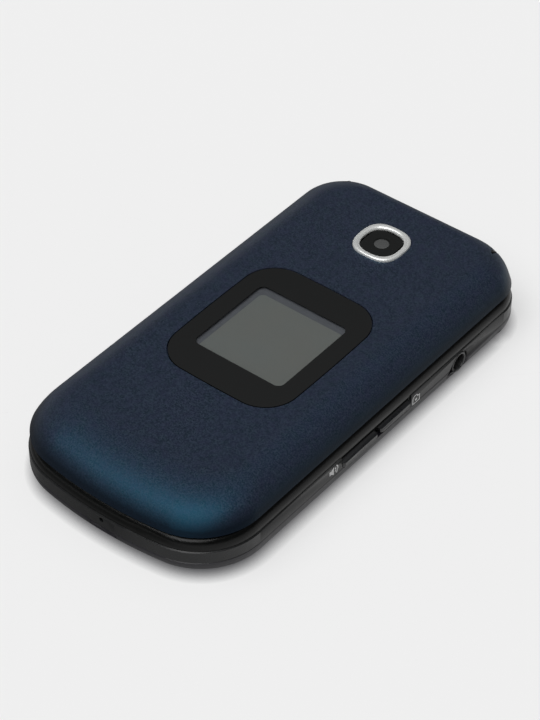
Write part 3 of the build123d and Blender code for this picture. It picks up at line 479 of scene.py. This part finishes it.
# The glass outside the active area of the outer display: flat grey, darker than the area itself.
LCD_BORDER = moulded_plastic(
    "Tinted display border", "#585b60", "#5d6065", 0.5, 2.0, 0.002, 0.1
)
MAIN_LCD = liquid_crystal("Main display glass", ("#0e1012", "#121417"), 0.2)
PLATED = silver_lacquer()
SPUN_RING = spun_metal("Spun aluminium", "#9fa2a6", RING_CENTRE)
# Cans, screws and shafts: pale, with broad soft highlights.
STEEL = worked_metal("Pressed stainless steel", "#b4b5b6", 0.28, 0.5)
# Dust gauze: darkened, so that the weave reads as fine grey threads.
GAUZE = worked_metal("Blackened steel gauze", "#34353a", 0.42, 0.3)
# Contacts: warm yellow, and brighter than the steel.
GOLD_FLASH = worked_metal("Gold flashed bronze", "#d0a95c", 0.22, 0.3)
# The camera's lens: dark glass, which its coating turns grey, with a soft highlight.
LENS_GLASS = gloss_acrylic("Coated lens glass", "#4a4b4b", 0.1)
# The rim of the headset jack: a smooth satin ring, a shade lighter than the band.
JACK_RIM = moulded_plastic("Satin moulded rim", "#2c2d2e", "#38393a", 0.3, 0.3, 0.004)
RUBBER = moulded_rubber()
# Painted shade in the hollow above the side keys: dead black and matt.
WELL_SHADE = well_shade_finish()
BOARD = circuit_board()
INK = printed_ink("Pad printed white ink", "#ffffff", "#e8eaea")
KEY_INK = printed_ink("Lit key legend", "#e9edf0", "#cfd4d8")
GREEN_INK = printed_ink("Green key legend", "#3fae5a", "#2f8a47")
RED_INK = printed_ink("Red key legend", "#d6433c", "#ab332e")
ETCHED = printed_ink("Etched mark", "#2a2b2d", "#3a3b3d")

FINISH_OF_SLOT = {
    "lid_paint": LACQUER,
    "housing_black": BLACK_ABS,
    "band_grey": BAND_ABS,
    "cover_grey": COVER_ABS,
    "window_black": PRINTED_WINDOW,
    "screen_window": PRINTED_WINDOW,
    "display_glass": MAIN_LCD,
    "bright_ring": PLATED,
    "lens_glass": LENS_GLASS,
    "key_plastic": KEY_PLASTIC,
    "soft_rubber": RUBBER,
    "steel": STEEL,
    "contact_brass": GOLD_FLASH,
    "board": BOARD,
    "inner_plastic": INNER_PLASTIC,
    "battery_wrap": WRAP,
}


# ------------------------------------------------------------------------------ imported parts
def put_in_scene(name, mesh, body, material):
    """A finished piece at the origin, riding on a body."""
    piece = add_object(name, mesh)
    mesh.materials.clear()
    mesh.materials.append(material)
    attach(piece, body)
    return piece


def smooth_by_angle(mesh, crease=CREASE):
    for polygon in mesh.polygons:
        polygon.use_smooth = True
    mesh.set_sharp_from_angle(angle=radians(crease))


def mesh_of(form, name):
    """The mesh of a form that has been built. The form goes."""
    mesh = bpy.data.meshes.new(name)
    form.to_mesh(mesh)
    form.free()
    return mesh


def cleaned_copy(node):
    """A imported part's mesh with its loose triangles joined, and flat areas made one face."""
    form = bmesh.new()
    form.from_mesh(NODES[node].data)
    bmesh.ops.remove_doubles(form, verts=form.verts, dist=WELD)
    bmesh.ops.dissolve_limit(
        form, angle_limit=radians(FLAT_ANGLE), verts=form.verts, edges=form.edges
    )
    return mesh_of(form, f"{node}_finished")


def dress(node, material=None):
    """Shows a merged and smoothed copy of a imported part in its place."""
    mesh = cleaned_copy(node)
    smooth_by_angle(mesh)
    slot = SLOT_OF[node]
    finish = material or FINISH_OF_SLOT[slot]
    piece = put_in_scene(f"{node}_finished", mesh, BODY_OF[node], finish)
    weights = piece.modifiers.new("weighted normals", "WEIGHTED_NORMAL")
    weights.keep_sharp = True
    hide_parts(node)


def finish_packed_parts():
    """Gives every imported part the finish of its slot."""
    for node, shown in NODES.items():
        shown.data.materials.clear()
        shown.data.materials.append(FINISH_OF_SLOT[SLOT_OF[node]])


# ------------------------------------------------------------------------------ drawn forms
def rounded_outline(low, high, radius, steps=6):
    """Points of a rectangle with round corners, anticlockwise from its right side."""
    (x0, y0), (x1, y1) = low, high
    centres = (
        (x1 - radius, y1 - radius), (x0 + radius, y1 - radius),
        (x0 + radius, y0 + radius), (x1 - radius, y0 + radius),
    )
    points = []
    for corner, (x, y) in enumerate(centres):
        for step in range(steps + 1):
            angle = pi / 2 * (corner + step / steps)
            points.append((x + radius * cos(angle), y + radius * sin(angle)))
    return points


def arc_stroke(centre, radius, width, start, end, steps=10):
    """Points of a band along an arc, from one angle to another in degrees, anticlockwise."""
    angles = [radians(start + (end - start) * step / steps) for step in range(steps + 1)]
    outer, inner = (
        [(centre[0] + reach * cos(a), centre[1] + reach * sin(a)) for a in angles]
        for reach in (radius + width / 2, radius - width / 2)
    )
    return outer + inner[::-1]


def add_strip(form, near, far):
    """Faces between two closed loops of as many corners."""
    for i in range(len(near)):
        j = (i + 1) % len(near)
        form.faces.new((near[i], near[j], far[j], far[i]))


def finished_mesh(form, name, crease=CREASE):
    bmesh.ops.recalc_face_normals(form, faces=form.faces)
    mesh = mesh_of(form, name)
    smooth_by_angle(mesh, crease)
    return mesh


def prism_mesh(name, outline, bottom, top):
    """A closed solid between two levels. All in millimetres."""
    form = bmesh.new()
    lower = [form.verts.new((x * MM, y * MM, bottom * MM)) for x, y in outline]
    upper = [form.verts.new((x * MM, y * MM, top * MM)) for x, y in outline]
    form.faces.new(lower[::-1])
    form.faces.new(upper)
    add_strip(form, lower, upper)
    return finished_mesh(form, name)


def lathed_mesh(name, profile, place, steps=40):
    """A profile of (radius, height) turned about an upright axis, which place then moves and
    tilts."""
    form = bmesh.new()
    rings = []
    for radius, height in profile:
        if radius == 0:
            rings.append([form.verts.new(place @ Vector((0, 0, height * MM)))])
            continue
        angles = [2 * pi * i / steps for i in range(steps)]
        rings.append([
            form.verts.new(place @ Vector((
                radius * cos(angle) * MM, radius * sin(angle) * MM, height * MM
            ))) for angle in angles
        ])
    for low, high in zip(rings, rings[1:]):
        for i in range(steps):
            j = (i + 1) % steps
            corners = [
                low[i % len(low)], low[j % len(low)], high[j % len(high)], high[i % len(high)]
            ]
            form.faces.new([c for k, c in enumerate(corners) if c not in corners[:k]])
    bmesh.ops.remove_doubles(form, verts=form.verts, dist=WELD)
    return finished_mesh(form, name)


def plain_mesh(holder):
    """The mesh that an object shows with its modifiers, as a mesh of its own. The object goes."""
    bpy.context.view_layer.update()
    shown = holder.evaluated_get(bpy.context.evaluated_depsgraph_get())
    mesh = bpy.data.meshes.new_from_object(shown)
    bpy.data.objects.remove(holder)
    return mesh


def cut_from(mesh, cutters):
    """Cuts closed meshes out of a mesh, and smooths what is left."""
    holder = add_object(mesh.name, mesh)
    tools = [add_object("cutter", cutter) for cutter in cutters]
    for tool in tools:
        modifier = holder.modifiers.new("cut", "BOOLEAN")
        modifier.operation, modifier.solver, modifier.object = "DIFFERENCE", "EXACT", tool
    result = plain_mesh(holder)
    for tool in tools:
        bpy.data.objects.remove(tool)
    smooth_by_angle(result)
    return result


# ------------------------------------------------------------------------------ outer display
# Areas are a low corner, a high corner and the radius of the corners.
APERTURE = ((-10.85, -11.2), (10.85, 10.4), 1.5)
ACTIVE = ((-9.6, -12.4), (11.4, 8.8), 1.1)
DISPLAY_CORNER = 0.4
MASK_THICKNESS = 0.14
MASK_ROOM = 2.4
PANE_MARGIN = 1.2
PANE_DEPTHS = (0.4, 0.02)   # of the pane's two faces, under the printed mask
WINDOW_SHRINK = 0.993   # leaves a seam round the window wide enough to show
LCD_LEVEL = 14.85


def grown(area, margin):
    (x0, y0), (x1, y1), radius = area
    return (x0 - margin, y0 - margin), (x1 + margin, y1 + margin), radius + margin


def plate(area, bottom, top):
    """A flat plate with round corners, between two levels."""
    return prism_mesh("plate", rounded_outline(*area), bottom, top)


def outer_display():
    """The printed window, thin round its aperture, a clear pane behind it, and the display close
    under it."""
    low, high = box_mm("outer_display_window")
    under, below = high.z - MASK_THICKNESS, low.z - CUT_CLEARANCE
    mask = cut_from(cleaned_copy("outer_display_window"), [
        plate(APERTURE, below, high.z + CUT_CLEARANCE),
        plate(grown(APERTURE, MASK_ROOM), below, under),
    ])
    centre = Matrix.Translation((low + high) / 2 * MM)
    smaller = Matrix.Diagonal((WINDOW_SHRINK, WINDOW_SHRINK, 1, 1))
    mask.transform(centre @ smaller @ centre.inverted())
    piece = put_in_scene("outer_window_printed", mask, "lid", PRINTED_WINDOW)
    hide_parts("outer_display_window")
    pane = plate(grown(APERTURE, PANE_MARGIN), under - PANE_DEPTHS[0], under - PANE_DEPTHS[1])
    put_in_scene("outer_window_clear", pane, "lid", CLEAR)
    low, high = box_mm("outer_display_module")
    module = plate(((low.x, low.y), (high.x, high.y), DISPLAY_CORNER), low.z, LCD_LEVEL)
    border = put_in_scene("outer_display_border", module, "lid", LCD_BORDER)
    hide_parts("outer_display_module")
    glass = plate(ACTIVE, LCD_LEVEL, LCD_LEVEL + LAYER)
    put_in_scene("outer_display_glass", glass, "lid", OUTER_LCD)


# ------------------------------------------------------------------------------ camera
# Half the width of the ring's outer and inner edge, and how square each is: 2 is a circle.
RING_OUTSIDE = (5.42, 2.75)
RING_INSIDE = (4.2, 2.5)
# The ring's section: the share of the way from its outer to its inner edge, and the height below
# its crown.
RING_PROFILE = (
    (0, -1.4), (0, -0.36), (0.05, -0.18), (0.16, -0.06), (0.36, 0), (0.62, -0.03), (0.82, -0.12),
    (0.94, -0.26), (1, -0.46), (1, -0.75),
)
RING_CREASE = 50
LENS_RADIUS = 1.56
LENS_CROWN = 0.1
LENS_THICKNESS = 1.2
LENS_SINK = 0.06        # from the camera's window down to the edge of the lens
COLLAR_THICKNESS = 0.6
COLLAR_LAP = 0.04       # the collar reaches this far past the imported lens
COLLAR_GAP = 0.01


def squircle(half, squareness, steps=72):
    """Points of a square with bowed sides and soft corners, anticlockwise."""
    points = []
    for step in range(steps):
        c, s = cos(2 * pi * step / steps), sin(2 * pi * step / steps)
        reach = half / (abs(c) ** squareness + abs(s) ** squareness) ** (1 / squareness)
        points.append((reach * c, reach * s))
    return points


def camera_ring():
    """The bright ring round the camera: a crowned section swept round a bowed square."""
    middle, crown = middle_of("camera_bezel"), box_mm("camera_bezel")[1].z
    outer, inner = squircle(*RING_OUTSIDE), squircle(*RING_INSIDE)
    form = bmesh.new()
    loops = []
    for share, depth in RING_PROFILE:
        loops.append([
            form.verts.new((
                (middle.x + a[0] + share * (b[0] - a[0])) * MM,
                (middle.y + a[1] + share * (b[1] - a[1])) * MM,
                (crown + depth) * MM,
            )) for a, b in zip(outer, inner)
        ])
    for near, far in zip(loops, loops[1:] + loops[:1]):
        add_strip(form, near, far)
    ring = finished_mesh(form, "ring", RING_CREASE)
    piece = put_in_scene("camera_ring", ring, "lid", PLATED)
    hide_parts("camera_bezel")


def camera_lens():
    """A shallow glass dome in a black collar, set just under the camera's window."""
    low, high = box_mm("camera_lens")
    middle = middle_of("camera_lens")
    place = moved(middle.x, middle.y, 0)
    edge = box_mm("camera_window")[1].z - LENS_SINK
    base = edge - LENS_THICKNESS
    profile = [(0, base), (LENS_RADIUS, base)]
    for step in range(6):
        angle = pi / 2 * step / 6
        profile.append((LENS_RADIUS * cos(angle), edge - LENS_CROWN * (1 - sin(angle))))
    dome = lathed_mesh("dome", profile + [(0, edge)], place)
    piece = put_in_scene("camera_lens_dome", dome, "lid", LENS_GLASS)
    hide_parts("camera_lens")
    inner, outer = LENS_RADIUS + COLLAR_GAP, (high.x - low.x) / 2 + COLLAR_LAP
    base = edge - COLLAR_THICKNESS
    section = [(inner, base), (inner, edge), (outer, edge), (outer, base), (inner, base)]
    collar = lathed_mesh("collar", section, place)
    put_in_scene("camera_lens_collar", collar, "lid", PRINTED_WINDOW)


# ------------------------------------------------------------------------------ main display
SCREEN_SIDE_MARGIN = 3.4
SCREEN_END_MARGIN = 4.2
SCREEN_DEPTH = 0.1


def main_display():
    """The active area of the screen, on the lid's inner window."""
    low, high = box_mm("main_display_window")
    area = (
        (low.x + SCREEN_SIDE_MARGIN, low.y + SCREEN_END_MARGIN),
        (high.x - SCREEN_SIDE_MARGIN, high.y - SCREEN_END_MARGIN), DISPLAY_CORNER,
    )
    screen = plate(area, low.z - LAYER, low.z + SCREEN_DEPTH)
    put_in_scene("main_display_active", screen, "lid", MAIN_LCD)


# ------------------------------------------------------------------------------ repeated pieces
def new_tree(name, sizes):
    """A Geometry Nodes tree with named inputs, and the sockets that they come in by."""
    tree = bpy.data.node_groups.new(name, "GeometryNodeTree")
    for size, kind in sizes.items():
        tree.interface.new_socket(size, in_out="INPUT", socket_type=kind)
    tree.interface.new_socket("Geometry", in_out="OUTPUT", socket_type="NodeSocketGeometry")
    return tree, add_node(tree, "NodeGroupInput").outputs


def end_tree(tree, geometry, material):
    real = add_node(tree, "GeometryNodeRealizeInstances", inputs={"Geometry": geometry})
    finish = add_node(
        tree, "GeometryNodeSetMaterial",
        inputs={"Geometry": real.outputs["Geometry"], "Material": material},
    )
    add_node(tree, "NodeGroupOutput", inputs={"Geometry": finish.outputs["Geometry"]})


def wire_gauze_tree():
    """Woven gauze: wires across and along a rectangle, one pitch apart."""
    tree, given = new_tree("wire gauze", {
        "Width": "NodeSocketFloat", "Length": "NodeSocketFloat", "Pitch": "NodeSocketFloat",
        "Wire": "NodeSocketFloat", "Finish": "NodeSocketMaterial",
    })
    joined = add_node(tree, "GeometryNodeJoinGeometry")
    for across, along, turn in (("Width", "Length", 0), ("Length", "Width", pi / 2)):
        count = add_node(
            tree, "ShaderNodeMath", {"operation": "DIVIDE"}, {0: given[across], 1: given["Pitch"]}
        ).outputs["Value"]
        half = add_node(
            tree, "ShaderNodeMath", {"operation": "MULTIPLY"}, {0: given[across], 1: -0.5}
        ).outputs["Value"]
        start = add_node(tree, "ShaderNodeCombineXYZ", inputs={"X": half}).outputs["Vector"]
        step = add_node(tree, "ShaderNodeCombineXYZ", inputs={"X": given["Pitch"]}).outputs["Vector"]
        line = add_node(
            tree, "GeometryNodeMeshLine",
            inputs={"Count": count, "Start Location": start, "Offset": step},
        )
        wire = add_node(
            tree, "GeometryNodeMeshCylinder",
            inputs={"Vertices": 6, "Radius": given["Wire"], "Depth": given[along]},
        )
        rows = add_node(
            tree, "GeometryNodeInstanceOnPoints",
            inputs={
                "Points": line.outputs["Mesh"], "Instance": wire.outputs["Mesh"],
                "Rotation": (pi / 2, 0, 0),
            },
        )
        turned = add_node(
            tree, "GeometryNodeTransform",
            inputs={"Geometry": rows.outputs["Instances"], "Rotation": (0, 0, turn)},
        )
        tree.links.new(turned.outputs["Geometry"], joined.inputs["Geometry"])
    end_tree(tree, joined.outputs["Geometry"], given["Finish"])
    return tree


def compass_marks_tree():
    """Pointed marks evenly spaced round a circle, each pointing outwards."""
    tree, given = new_tree("compass marks", {
        "Marks": "NodeSocketInt", "Ring Radius": "NodeSocketFloat",
        "Mark Radius": "NodeSocketFloat", "Finish": "NodeSocketMaterial",
    })
    ring = add_node(
        tree, "GeometryNodeMeshCircle",
        inputs={"Vertices": given["Marks"], "Radius": given["Ring Radius"]},
    )
    place = add_node(tree, "GeometryNodeInputPosition").outputs["Position"]
    outwards = add_node(
        tree, "FunctionNodeAlignRotationToVector", {"axis": "X"}, {"Vector": place}
    ).outputs["Rotation"]
    mark = add_node(
        tree, "GeometryNodeMeshCircle", {"fill_type": "NGON"},
        {"Vertices": 3, "Radius": given["Mark Radius"]},
    )
    marks = add_node(
        tree, "GeometryNodeInstanceOnPoints",
        inputs={
            "Points": ring.outputs["Mesh"], "Instance": mark.outputs["Mesh"], "Rotation": outwards,
            "Scale": (0.6, 1.0, 1.0),
        },
    )
    end_tree(tree, marks.outputs["Instances"], given["Finish"])
    return tree


def grown_mesh(tree, sizes, place):
    """Runs a tree with its sizes and returns the plain mesh, moved to its place."""
    holder = add_object("grown", bpy.data.meshes.new("grown"))
    modifier = holder.modifiers.new("pattern", "NODES")
    modifier.node_group = tree
    for item in tree.interface.items_tree:
        if item.item_type == "SOCKET" and item.in_out == "INPUT":
            modifier[item.identifier] = sizes[item.name]
    mesh = plain_mesh(holder)
    mesh.transform(place)
    return mesh


GAUZE_PITCH = 0.35      # coarser than real gauze, so that the weave shows
GAUZE_WIRE = 0.07
GAUZE_GAP = 0.08
WIRE_CREASE = 60


def gauzes():
    """Dust gauze over the loudspeaker, behind the slots of the rear cover, and over the
    earpiece."""
    tree = wire_gauze_tree()
    for node, body, level, margin in (
        ("loudspeaker", "base", box_mm("loudspeaker")[0].z - GAUZE_GAP, 0.5),
        ("earpiece_grille", "lid", box_mm("earpiece_grille")[1].z + GAUZE_GAP, 0.2),
    ):
        low, high = box_mm(node)
        middle = middle_of(node)
        mesh = grown_mesh(tree, {
            "Width": (high.x - low.x - 2 * margin) * MM,
            "Length": (high.y - low.y - 2 * margin) * MM,
            "Pitch": GAUZE_PITCH * MM, "Wire": GAUZE_WIRE * MM, "Finish": GAUZE,
        }, moved(middle.x, middle.y, level))
        smooth_by_angle(mesh, WIRE_CREASE)
        put_in_scene(f"{node}_gauze", mesh, body, GAUZE)


# ------------------------------------------------------------------------------ legends
DIGIT_SIZE = 4.6
LETTER_SIZE = 2.3
DIGIT_SHIFT = 2.7       # a figure and its letters stand this far either side of the middle
LETTER_DROP = 0.3
LETTERS = {
    "2": "abc", "3": "def", "4": "ghi", "5": "jkl", "6": "mno", "7": "pqrs", "8": "tuv",
    "9": "wxyz", "0": "+",
}
SYMBOLS = {"star": "*", "hash": "#"}
WORDS = {"clear_key": ("C", 3.4), "ok_key": ("OK", 2.9)}
HANDSETS = {"call_key": (-135, GREEN_INK), "end_key": (0, RED_INK)}
DASH = (2.2, 0.25)      # half the length and half the width of a soft key's dash


def text_mesh(words, size, centre, level):
    """Flat words centred on a point, facing up."""
    curve = bpy.data.curves.new("words", "FONT")
    curve.body = words
    curve.size = size * MM
    curve.align_x, curve.align_y = "CENTER", "CENTER"
    curve.resolution_u = 3
    mesh = plain_mesh(add_object("words", curve))
    across = [corner.co.x for corner in mesh.vertices]
    along = [corner.co.y for corner in mesh.vertices]
    mesh.transform(Matrix.Translation((
        centre[0] * MM - (min(across) + max(across)) / 2,
        centre[1] * MM - (min(along) + max(along)) / 2,
        level * MM,
    )))
    return mesh


def flat_mesh(outlines, level):
    """Flat printed shapes, given by outlines that run anticlockwise, facing up."""
    form = bmesh.new()
    for outline in outlines:
        form.faces.new([form.verts.new((x * MM, y * MM, level * MM)) for x, y in outline])
    bmesh.ops.triangulate(form, faces=form.faces)
    return mesh_of(form, "print")


def joined_mesh(meshes):
    form = bmesh.new()
    for mesh in meshes:
        form.from_mesh(mesh)
    return mesh_of(form, "print")


def handset(centre, tilt, size=3.4):
    """Outlines of a telephone handset: a bowed grip with an earpiece and a mouthpiece. The tilt is
    in degrees."""
    grip = arc_stroke((0, -0.3 * size), 0.5 * size, 0.17 * size, 35, 145)
    wide, high, corner = 0.14 * size, 0.13 * size, 0.05 * size
    ends = [
        rounded_outline((x - wide, -high), (x + wide, high), corner, 3)
        for x in (-0.4 * size, 0.4 * size)
    ]
    c, s = cos(radians(tilt)), sin(radians(tilt))
    return [
        [(centre[0] + x * c - y * s, centre[1] + x * s + y * c) for x, y in outline]
        for outline in [grip] + ends
    ]


def key_legends():
    """Figures and marks on the tops of the keys."""
    for node in NODES:
        x, y, _ = middle_of(node)
        level = box_mm(node)[1].z + LAYER
        ink = KEY_INK
        if node.startswith("key_"):
            figure = node.removeprefix("key_")
            letters = LETTERS.get(figure)
            shift = DIGIT_SHIFT if letters else 0
            meshes = [text_mesh(SYMBOLS.get(figure, figure), DIGIT_SIZE, (x - shift, y), level)]
            if letters:
                place = (x + shift, y - LETTER_DROP)
                meshes.append(text_mesh(letters, LETTER_SIZE, place, level))
        elif node.startswith("soft_key"):
            half, thin = DASH
            dash = rounded_outline((x - half, y - thin), (x + half, y + thin), thin, 3)
            meshes = [flat_mesh([dash], level)]
        elif node in HANDSETS:
            tilt, ink = HANDSETS[node]
            meshes = [flat_mesh(handset((x, y), tilt), level)]
        elif node in WORDS:
            meshes = [text_mesh(*WORDS[node], (x, y), level)]
        else:
            continue
        put_in_scene(f"{node}_legend", joined_mesh(meshes), BODY_OF[node], ink)


RING_MARK_REACH = 7.5
RING_MARK_SIZE = 0.75


def ring_marks():
    """Four pointed marks on the navigation ring."""
    middle, top = middle_of("nav_ring"), box_mm("nav_ring")[1].z
    marks = grown_mesh(compass_marks_tree(), {
        "Marks": 4, "Ring Radius": RING_MARK_REACH * MM, "Mark Radius": RING_MARK_SIZE * MM,
        "Finish": ETCHED,
    }, moved(middle.x, middle.y, top + LAYER))
    put_in_scene("nav_ring_marks", marks, "nav_ring", ETCHED)


# ------------------------------------------------------------------------------ side of the base
# Where each pictogram stands along and up the side, and how large it is drawn.
SPEAKER_MARK = ((-14.0, 5.45), 1.15)
CAMERA_MARK = ((12.1, 5.0), 1.1)


def side_pictograms():
    """A loudspeaker beside the volume key and a camera beside the camera key, printed on the
    band."""
    cone = [(-1.35, -0.4), (-0.8, -0.4), (-0.15, -0.95), (-0.15, 0.95), (-0.8, 0.4), (-1.35, 0.4)]
    waves = [arc_stroke((-0.15, 0), radius, 0.24, -52, 52) for radius in (0.55, 1.05)]
    speaker = flat_mesh([cone] + waves, 0)
    outer = [
        (-1.1, -0.95), (1.1, -0.95), (1.1, 0.5), (0.55, 0.5), (0.2, 1.0), (-0.65, 1.0), (-1.1, 0.55),
    ]
    inner = [
        (-0.88, -0.73), (0.88, -0.73), (0.88, 0.3), (0.42, 0.3), (0.1, 0.78), (-0.55, 0.78),
        (-0.88, 0.45),
    ]
    body = [[outer[i], outer[(i + 1) % 7], inner[(i + 1) % 7], inner[i]] for i in range(7)]
    dot = rounded_outline((-0.3, -0.5), (0.3, 0.1), 0.3, 4)
    camera = flat_mesh(body + [dot], 0)
    side = box_mm("middle_housing")[1].x + LAYER
    upright = Matrix(((0, 0, 1, 0), (1, 0, 0, 0), (0, 1, 0, 0), (0, 0, 0, 1)))
    for mesh, ((y, z), size) in ((speaker, SPEAKER_MARK), (camera, CAMERA_MARK)):
        mesh.transform(Matrix.Scale(size, 4))
        mesh.transform(moved(side, y, z) @ upright)
    put_in_scene("side_pictograms", joined_mesh([speaker, camera]), "base", INK)


# The hollow above the side keys, as an area seen from above, and its levels.
WELL = ((25.5, -11.75), (27.5, 10.5), 0.3)
WELL_LEVELS = (5.35, 7.0)
# A dead black sheet on the well's back stands in for the shade in the hollow: painted shade.
SHADE_SHEET_FACES = (-0.02, 0.03)     # how far the shade sheet's two faces stand out from the well's back
SHADE_SHEET_CORNER = 0.01
SHADE_SHEET_TOP = 6.7

# The jack's place along and up the side.
JACK_PLACE = (26.8, 4.05)
JACK_RADIUS = 1.75
JACK_RIM_WIDTH = 0.5
JACK_RIM_HEIGHT = 0.22
JACK_RIM_ROOT = -0.5

# The scoop starts at its tip, given along and up the side, and widens and deepens to the jack.
# Depths are measured out from the middle of the phone.
SCOOP_TIP = (23.5, 2.5)
SCOOP_HALF_WIDTH = 1.9
SCOOP_TIP_DEPTH = 25.75
SCOOP_JACK_DEPTH = 25.1
SCOOP_OUTSIDE = 27.5


def jack_scoop():
    """The hollow that runs out from the jack, as a wedge to cut with: shallow at its tip."""
    tip, middle = Vector(SCOOP_TIP), Vector(JACK_PLACE)
    along = (middle - tip).normalized()
    across = SCOOP_HALF_WIDTH * Vector((-along.y, along.x))
    form = bmesh.new()
    floor, mouth = [], []
    for place, depth in (
        (tip, SCOOP_TIP_DEPTH), (middle + across, SCOOP_JACK_DEPTH),
        (middle - across, SCOOP_JACK_DEPTH),
    ):
        floor.append(form.verts.new(Vector((depth, *place)) * MM))
        mouth.append(form.verts.new(Vector((SCOOP_OUTSIDE, *place)) * MM))
    form.faces.new(floor)
    form.faces.new(mouth)
    add_strip(form, floor, mouth)
    return finished_mesh(form, "scoop")


def side_hollows():
    """The hollow above the side keys, for a finger tip, and the scoop beside the jack: cut out of
    the band, the rear cover and the tops of the keys."""
    for node, finish, has_well, has_scoop in (
        ("middle_housing", BAND_ABS, True, True), ("volume_rocker", SIDE_KEY, True, False),
        ("camera_key", SIDE_KEY, True, False), ("rear_cover", COVER_ABS, False, True),
    ):
        cutters = [plate(WELL, *WELL_LEVELS)] if has_well else []
        if has_scoop:
            cutters.append(jack_scoop())
        mesh = cut_from(cleaned_copy(node), cutters)
        piece = put_in_scene(f"{node}_finished", mesh, BODY_OF[node], finish)
        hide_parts(node)
    # A dead black sheet of painted shade on the well's back.
    (back, low_y), (_, high_y), _ = WELL
    near, far = SHADE_SHEET_FACES
    shade_sheet = plate(
        ((back + near, low_y), (back + far, high_y), SHADE_SHEET_CORNER), WELL_LEVELS[0], SHADE_SHEET_TOP
    )
    put_in_scene("side_key_well_painted_shade", shade_sheet, "base", WELL_SHADE)


def jack_rim():
    """A rounded rim round the mouth of the headset jack."""
    half = JACK_RIM_WIDTH / 2
    profile = [(JACK_RADIUS, JACK_RIM_ROOT)]
    for step in range(9):
        angle = pi * step / 8
        profile.append((JACK_RADIUS + half * (1 - cos(angle)), JACK_RIM_HEIGHT * sin(angle)))
    profile += [(JACK_RADIUS + JACK_RIM_WIDTH, JACK_RIM_ROOT), (JACK_RADIUS, JACK_RIM_ROOT)]
    place = moved(box_mm("headset_jack")[1].x, *JACK_PLACE) @ TOWARDS_X
    rim = cut_from(lathed_mesh("rim", profile, place), [jack_scoop()])
    put_in_scene("headset_jack_rim", rim, "base", JACK_RIM)


# ------------------------------------------------------------------------------ hinge
# The axis's place along the phone and up, and how far out from the middle each ear's knuckle goes.
HINGE_AXIS = (47.65, 12.2)
EAR_REACH = (13.22, 18.68)
EAR_COLLAR_RADIUS = 2.6
KNUCKLE_INSIDE = 2.3
COLLAR_CHAMFER = 0.12


def ear_collars():
    """A smooth collar round the knuckle of each hinge ear, close to the slot it turns in."""
    low, high = EAR_REACH
    width = high - low
    shoulder = EAR_COLLAR_RADIUS - COLLAR_CHAMFER
    profile = [
        (KNUCKLE_INSIDE, 0), (shoulder, 0), (EAR_COLLAR_RADIUS, COLLAR_CHAMFER),
        (EAR_COLLAR_RADIUS, width - COLLAR_CHAMFER), (shoulder, width), (KNUCKLE_INSIDE, width),
        (KNUCKLE_INSIDE, 0),
    ]
    for side, start in (("right", low), ("left", -high)):
        collar = lathed_mesh("collar", profile, moved(start, *HINGE_AXIS) @ TOWARDS_X)
        put_in_scene(f"hinge_ear_collar_{side}", collar, "base", BLACK_ABS)


# ------------------------------------------------------------------------------ studio
FLOOR_HALF_WIDTH = 6000
FLOOR_LEVEL = -0.03     # just clear of the rear cover's flat underside
# Each lamp's direction, strength, and how wide it spreads in degrees.
LAMPS = {
    "near soft lamp": (Vector((0.10, -0.46, 0.88)), 2.12, 50),
    "side soft lamp": (Vector((-0.44, -0.30, 0.85)), 0.45, 30),
}
# The room's light, brighter at its horizon and overhead. Heights run from 0, level, to 1, overhead.
ROOM_LIGHT = 0.12
CEILING_LIGHT = 0.5
HORIZON_LIGHT = 0.7
HORIZON_FADE = (0.12, 0.24)
CEILING_FADE = (0.6, 1.0)


def build_studio():
    mesh = bpy.data.meshes.new("floor")
    reach = FLOOR_HALF_WIDTH * MM
    corners = [
        (x * reach, y * reach, FLOOR_LEVEL * MM) for x, y in ((-1, -1), (1, -1), (1, 1), (-1, 1))
    ]
    mesh.from_pydata(corners, [], [(0, 1, 2, 3)])
    mesh.materials.append(studio_floor())
    floor = add_object("floor", mesh)
    for name, (direction, strength, spread) in LAMPS.items():
        lamp = bpy.data.lights.new(name, "SUN")
        lamp.energy = strength
        lamp.angle = radians(spread)
        light = add_object(name, lamp)
        light.rotation_euler = direction.to_track_quat("Z", "Y").to_euler()
    world = bpy.data.worlds.new("studio room")
    world.use_nodes = True
    tree = world.node_tree
    tree.nodes.clear()
    heading = add_node(tree, "ShaderNodeTexCoord").outputs["Generated"]
    height = add_node(tree, "ShaderNodeSeparateXYZ", inputs={"Vector": heading}).outputs["Z"]
    low = between(tree, height, HORIZON_LIGHT, ROOM_LIGHT, *HORIZON_FADE)
    high = between(tree, height, 0, CEILING_LIGHT - ROOM_LIGHT, *CEILING_FADE)
    total = add_node(tree, "ShaderNodeMath", {"operation": "ADD"}, {0: low, 1: high}).outputs["Value"]
    sky = add_node(
        tree, "ShaderNodeBackground", inputs={"Color": linear("#ffffff"), "Strength": total}
    )
    add_node(tree, "ShaderNodeOutputWorld", inputs={"Surface": sky.outputs["Background"]})
    bpy.context.scene.world = world
    bpy.context.scene.view_settings.view_transform = "Standard"


# ------------------------------------------------------------------------------ the whole phone
PLAIN_COPIES = (
    "lid_cover", "hinge_barrel", "front_housing", "headset_jack", "lid_front_frame", "camera_window",
    "main_display_window", "lid_bumpers", "usb_socket", "ok_key", "call_key", "end_key",
    "clear_key", "soft_key_left", "soft_key_right",
)
FIGURE_KEYS = tuple(name for name in NODES if name.startswith("key_"))

place_camera()
build_studio()
finish_packed_parts()
for node in PLAIN_COPIES + FIGURE_KEYS:
    dress(node)
dress("nav_ring", SPUN_RING)
dress("earpiece_grille", GAUZE)
outer_display()
camera_ring()
camera_lens()
main_display()
gauzes()
key_legends()
ring_marks()
side_hollows()
side_pictograms()
jack_rim()
ear_collars()
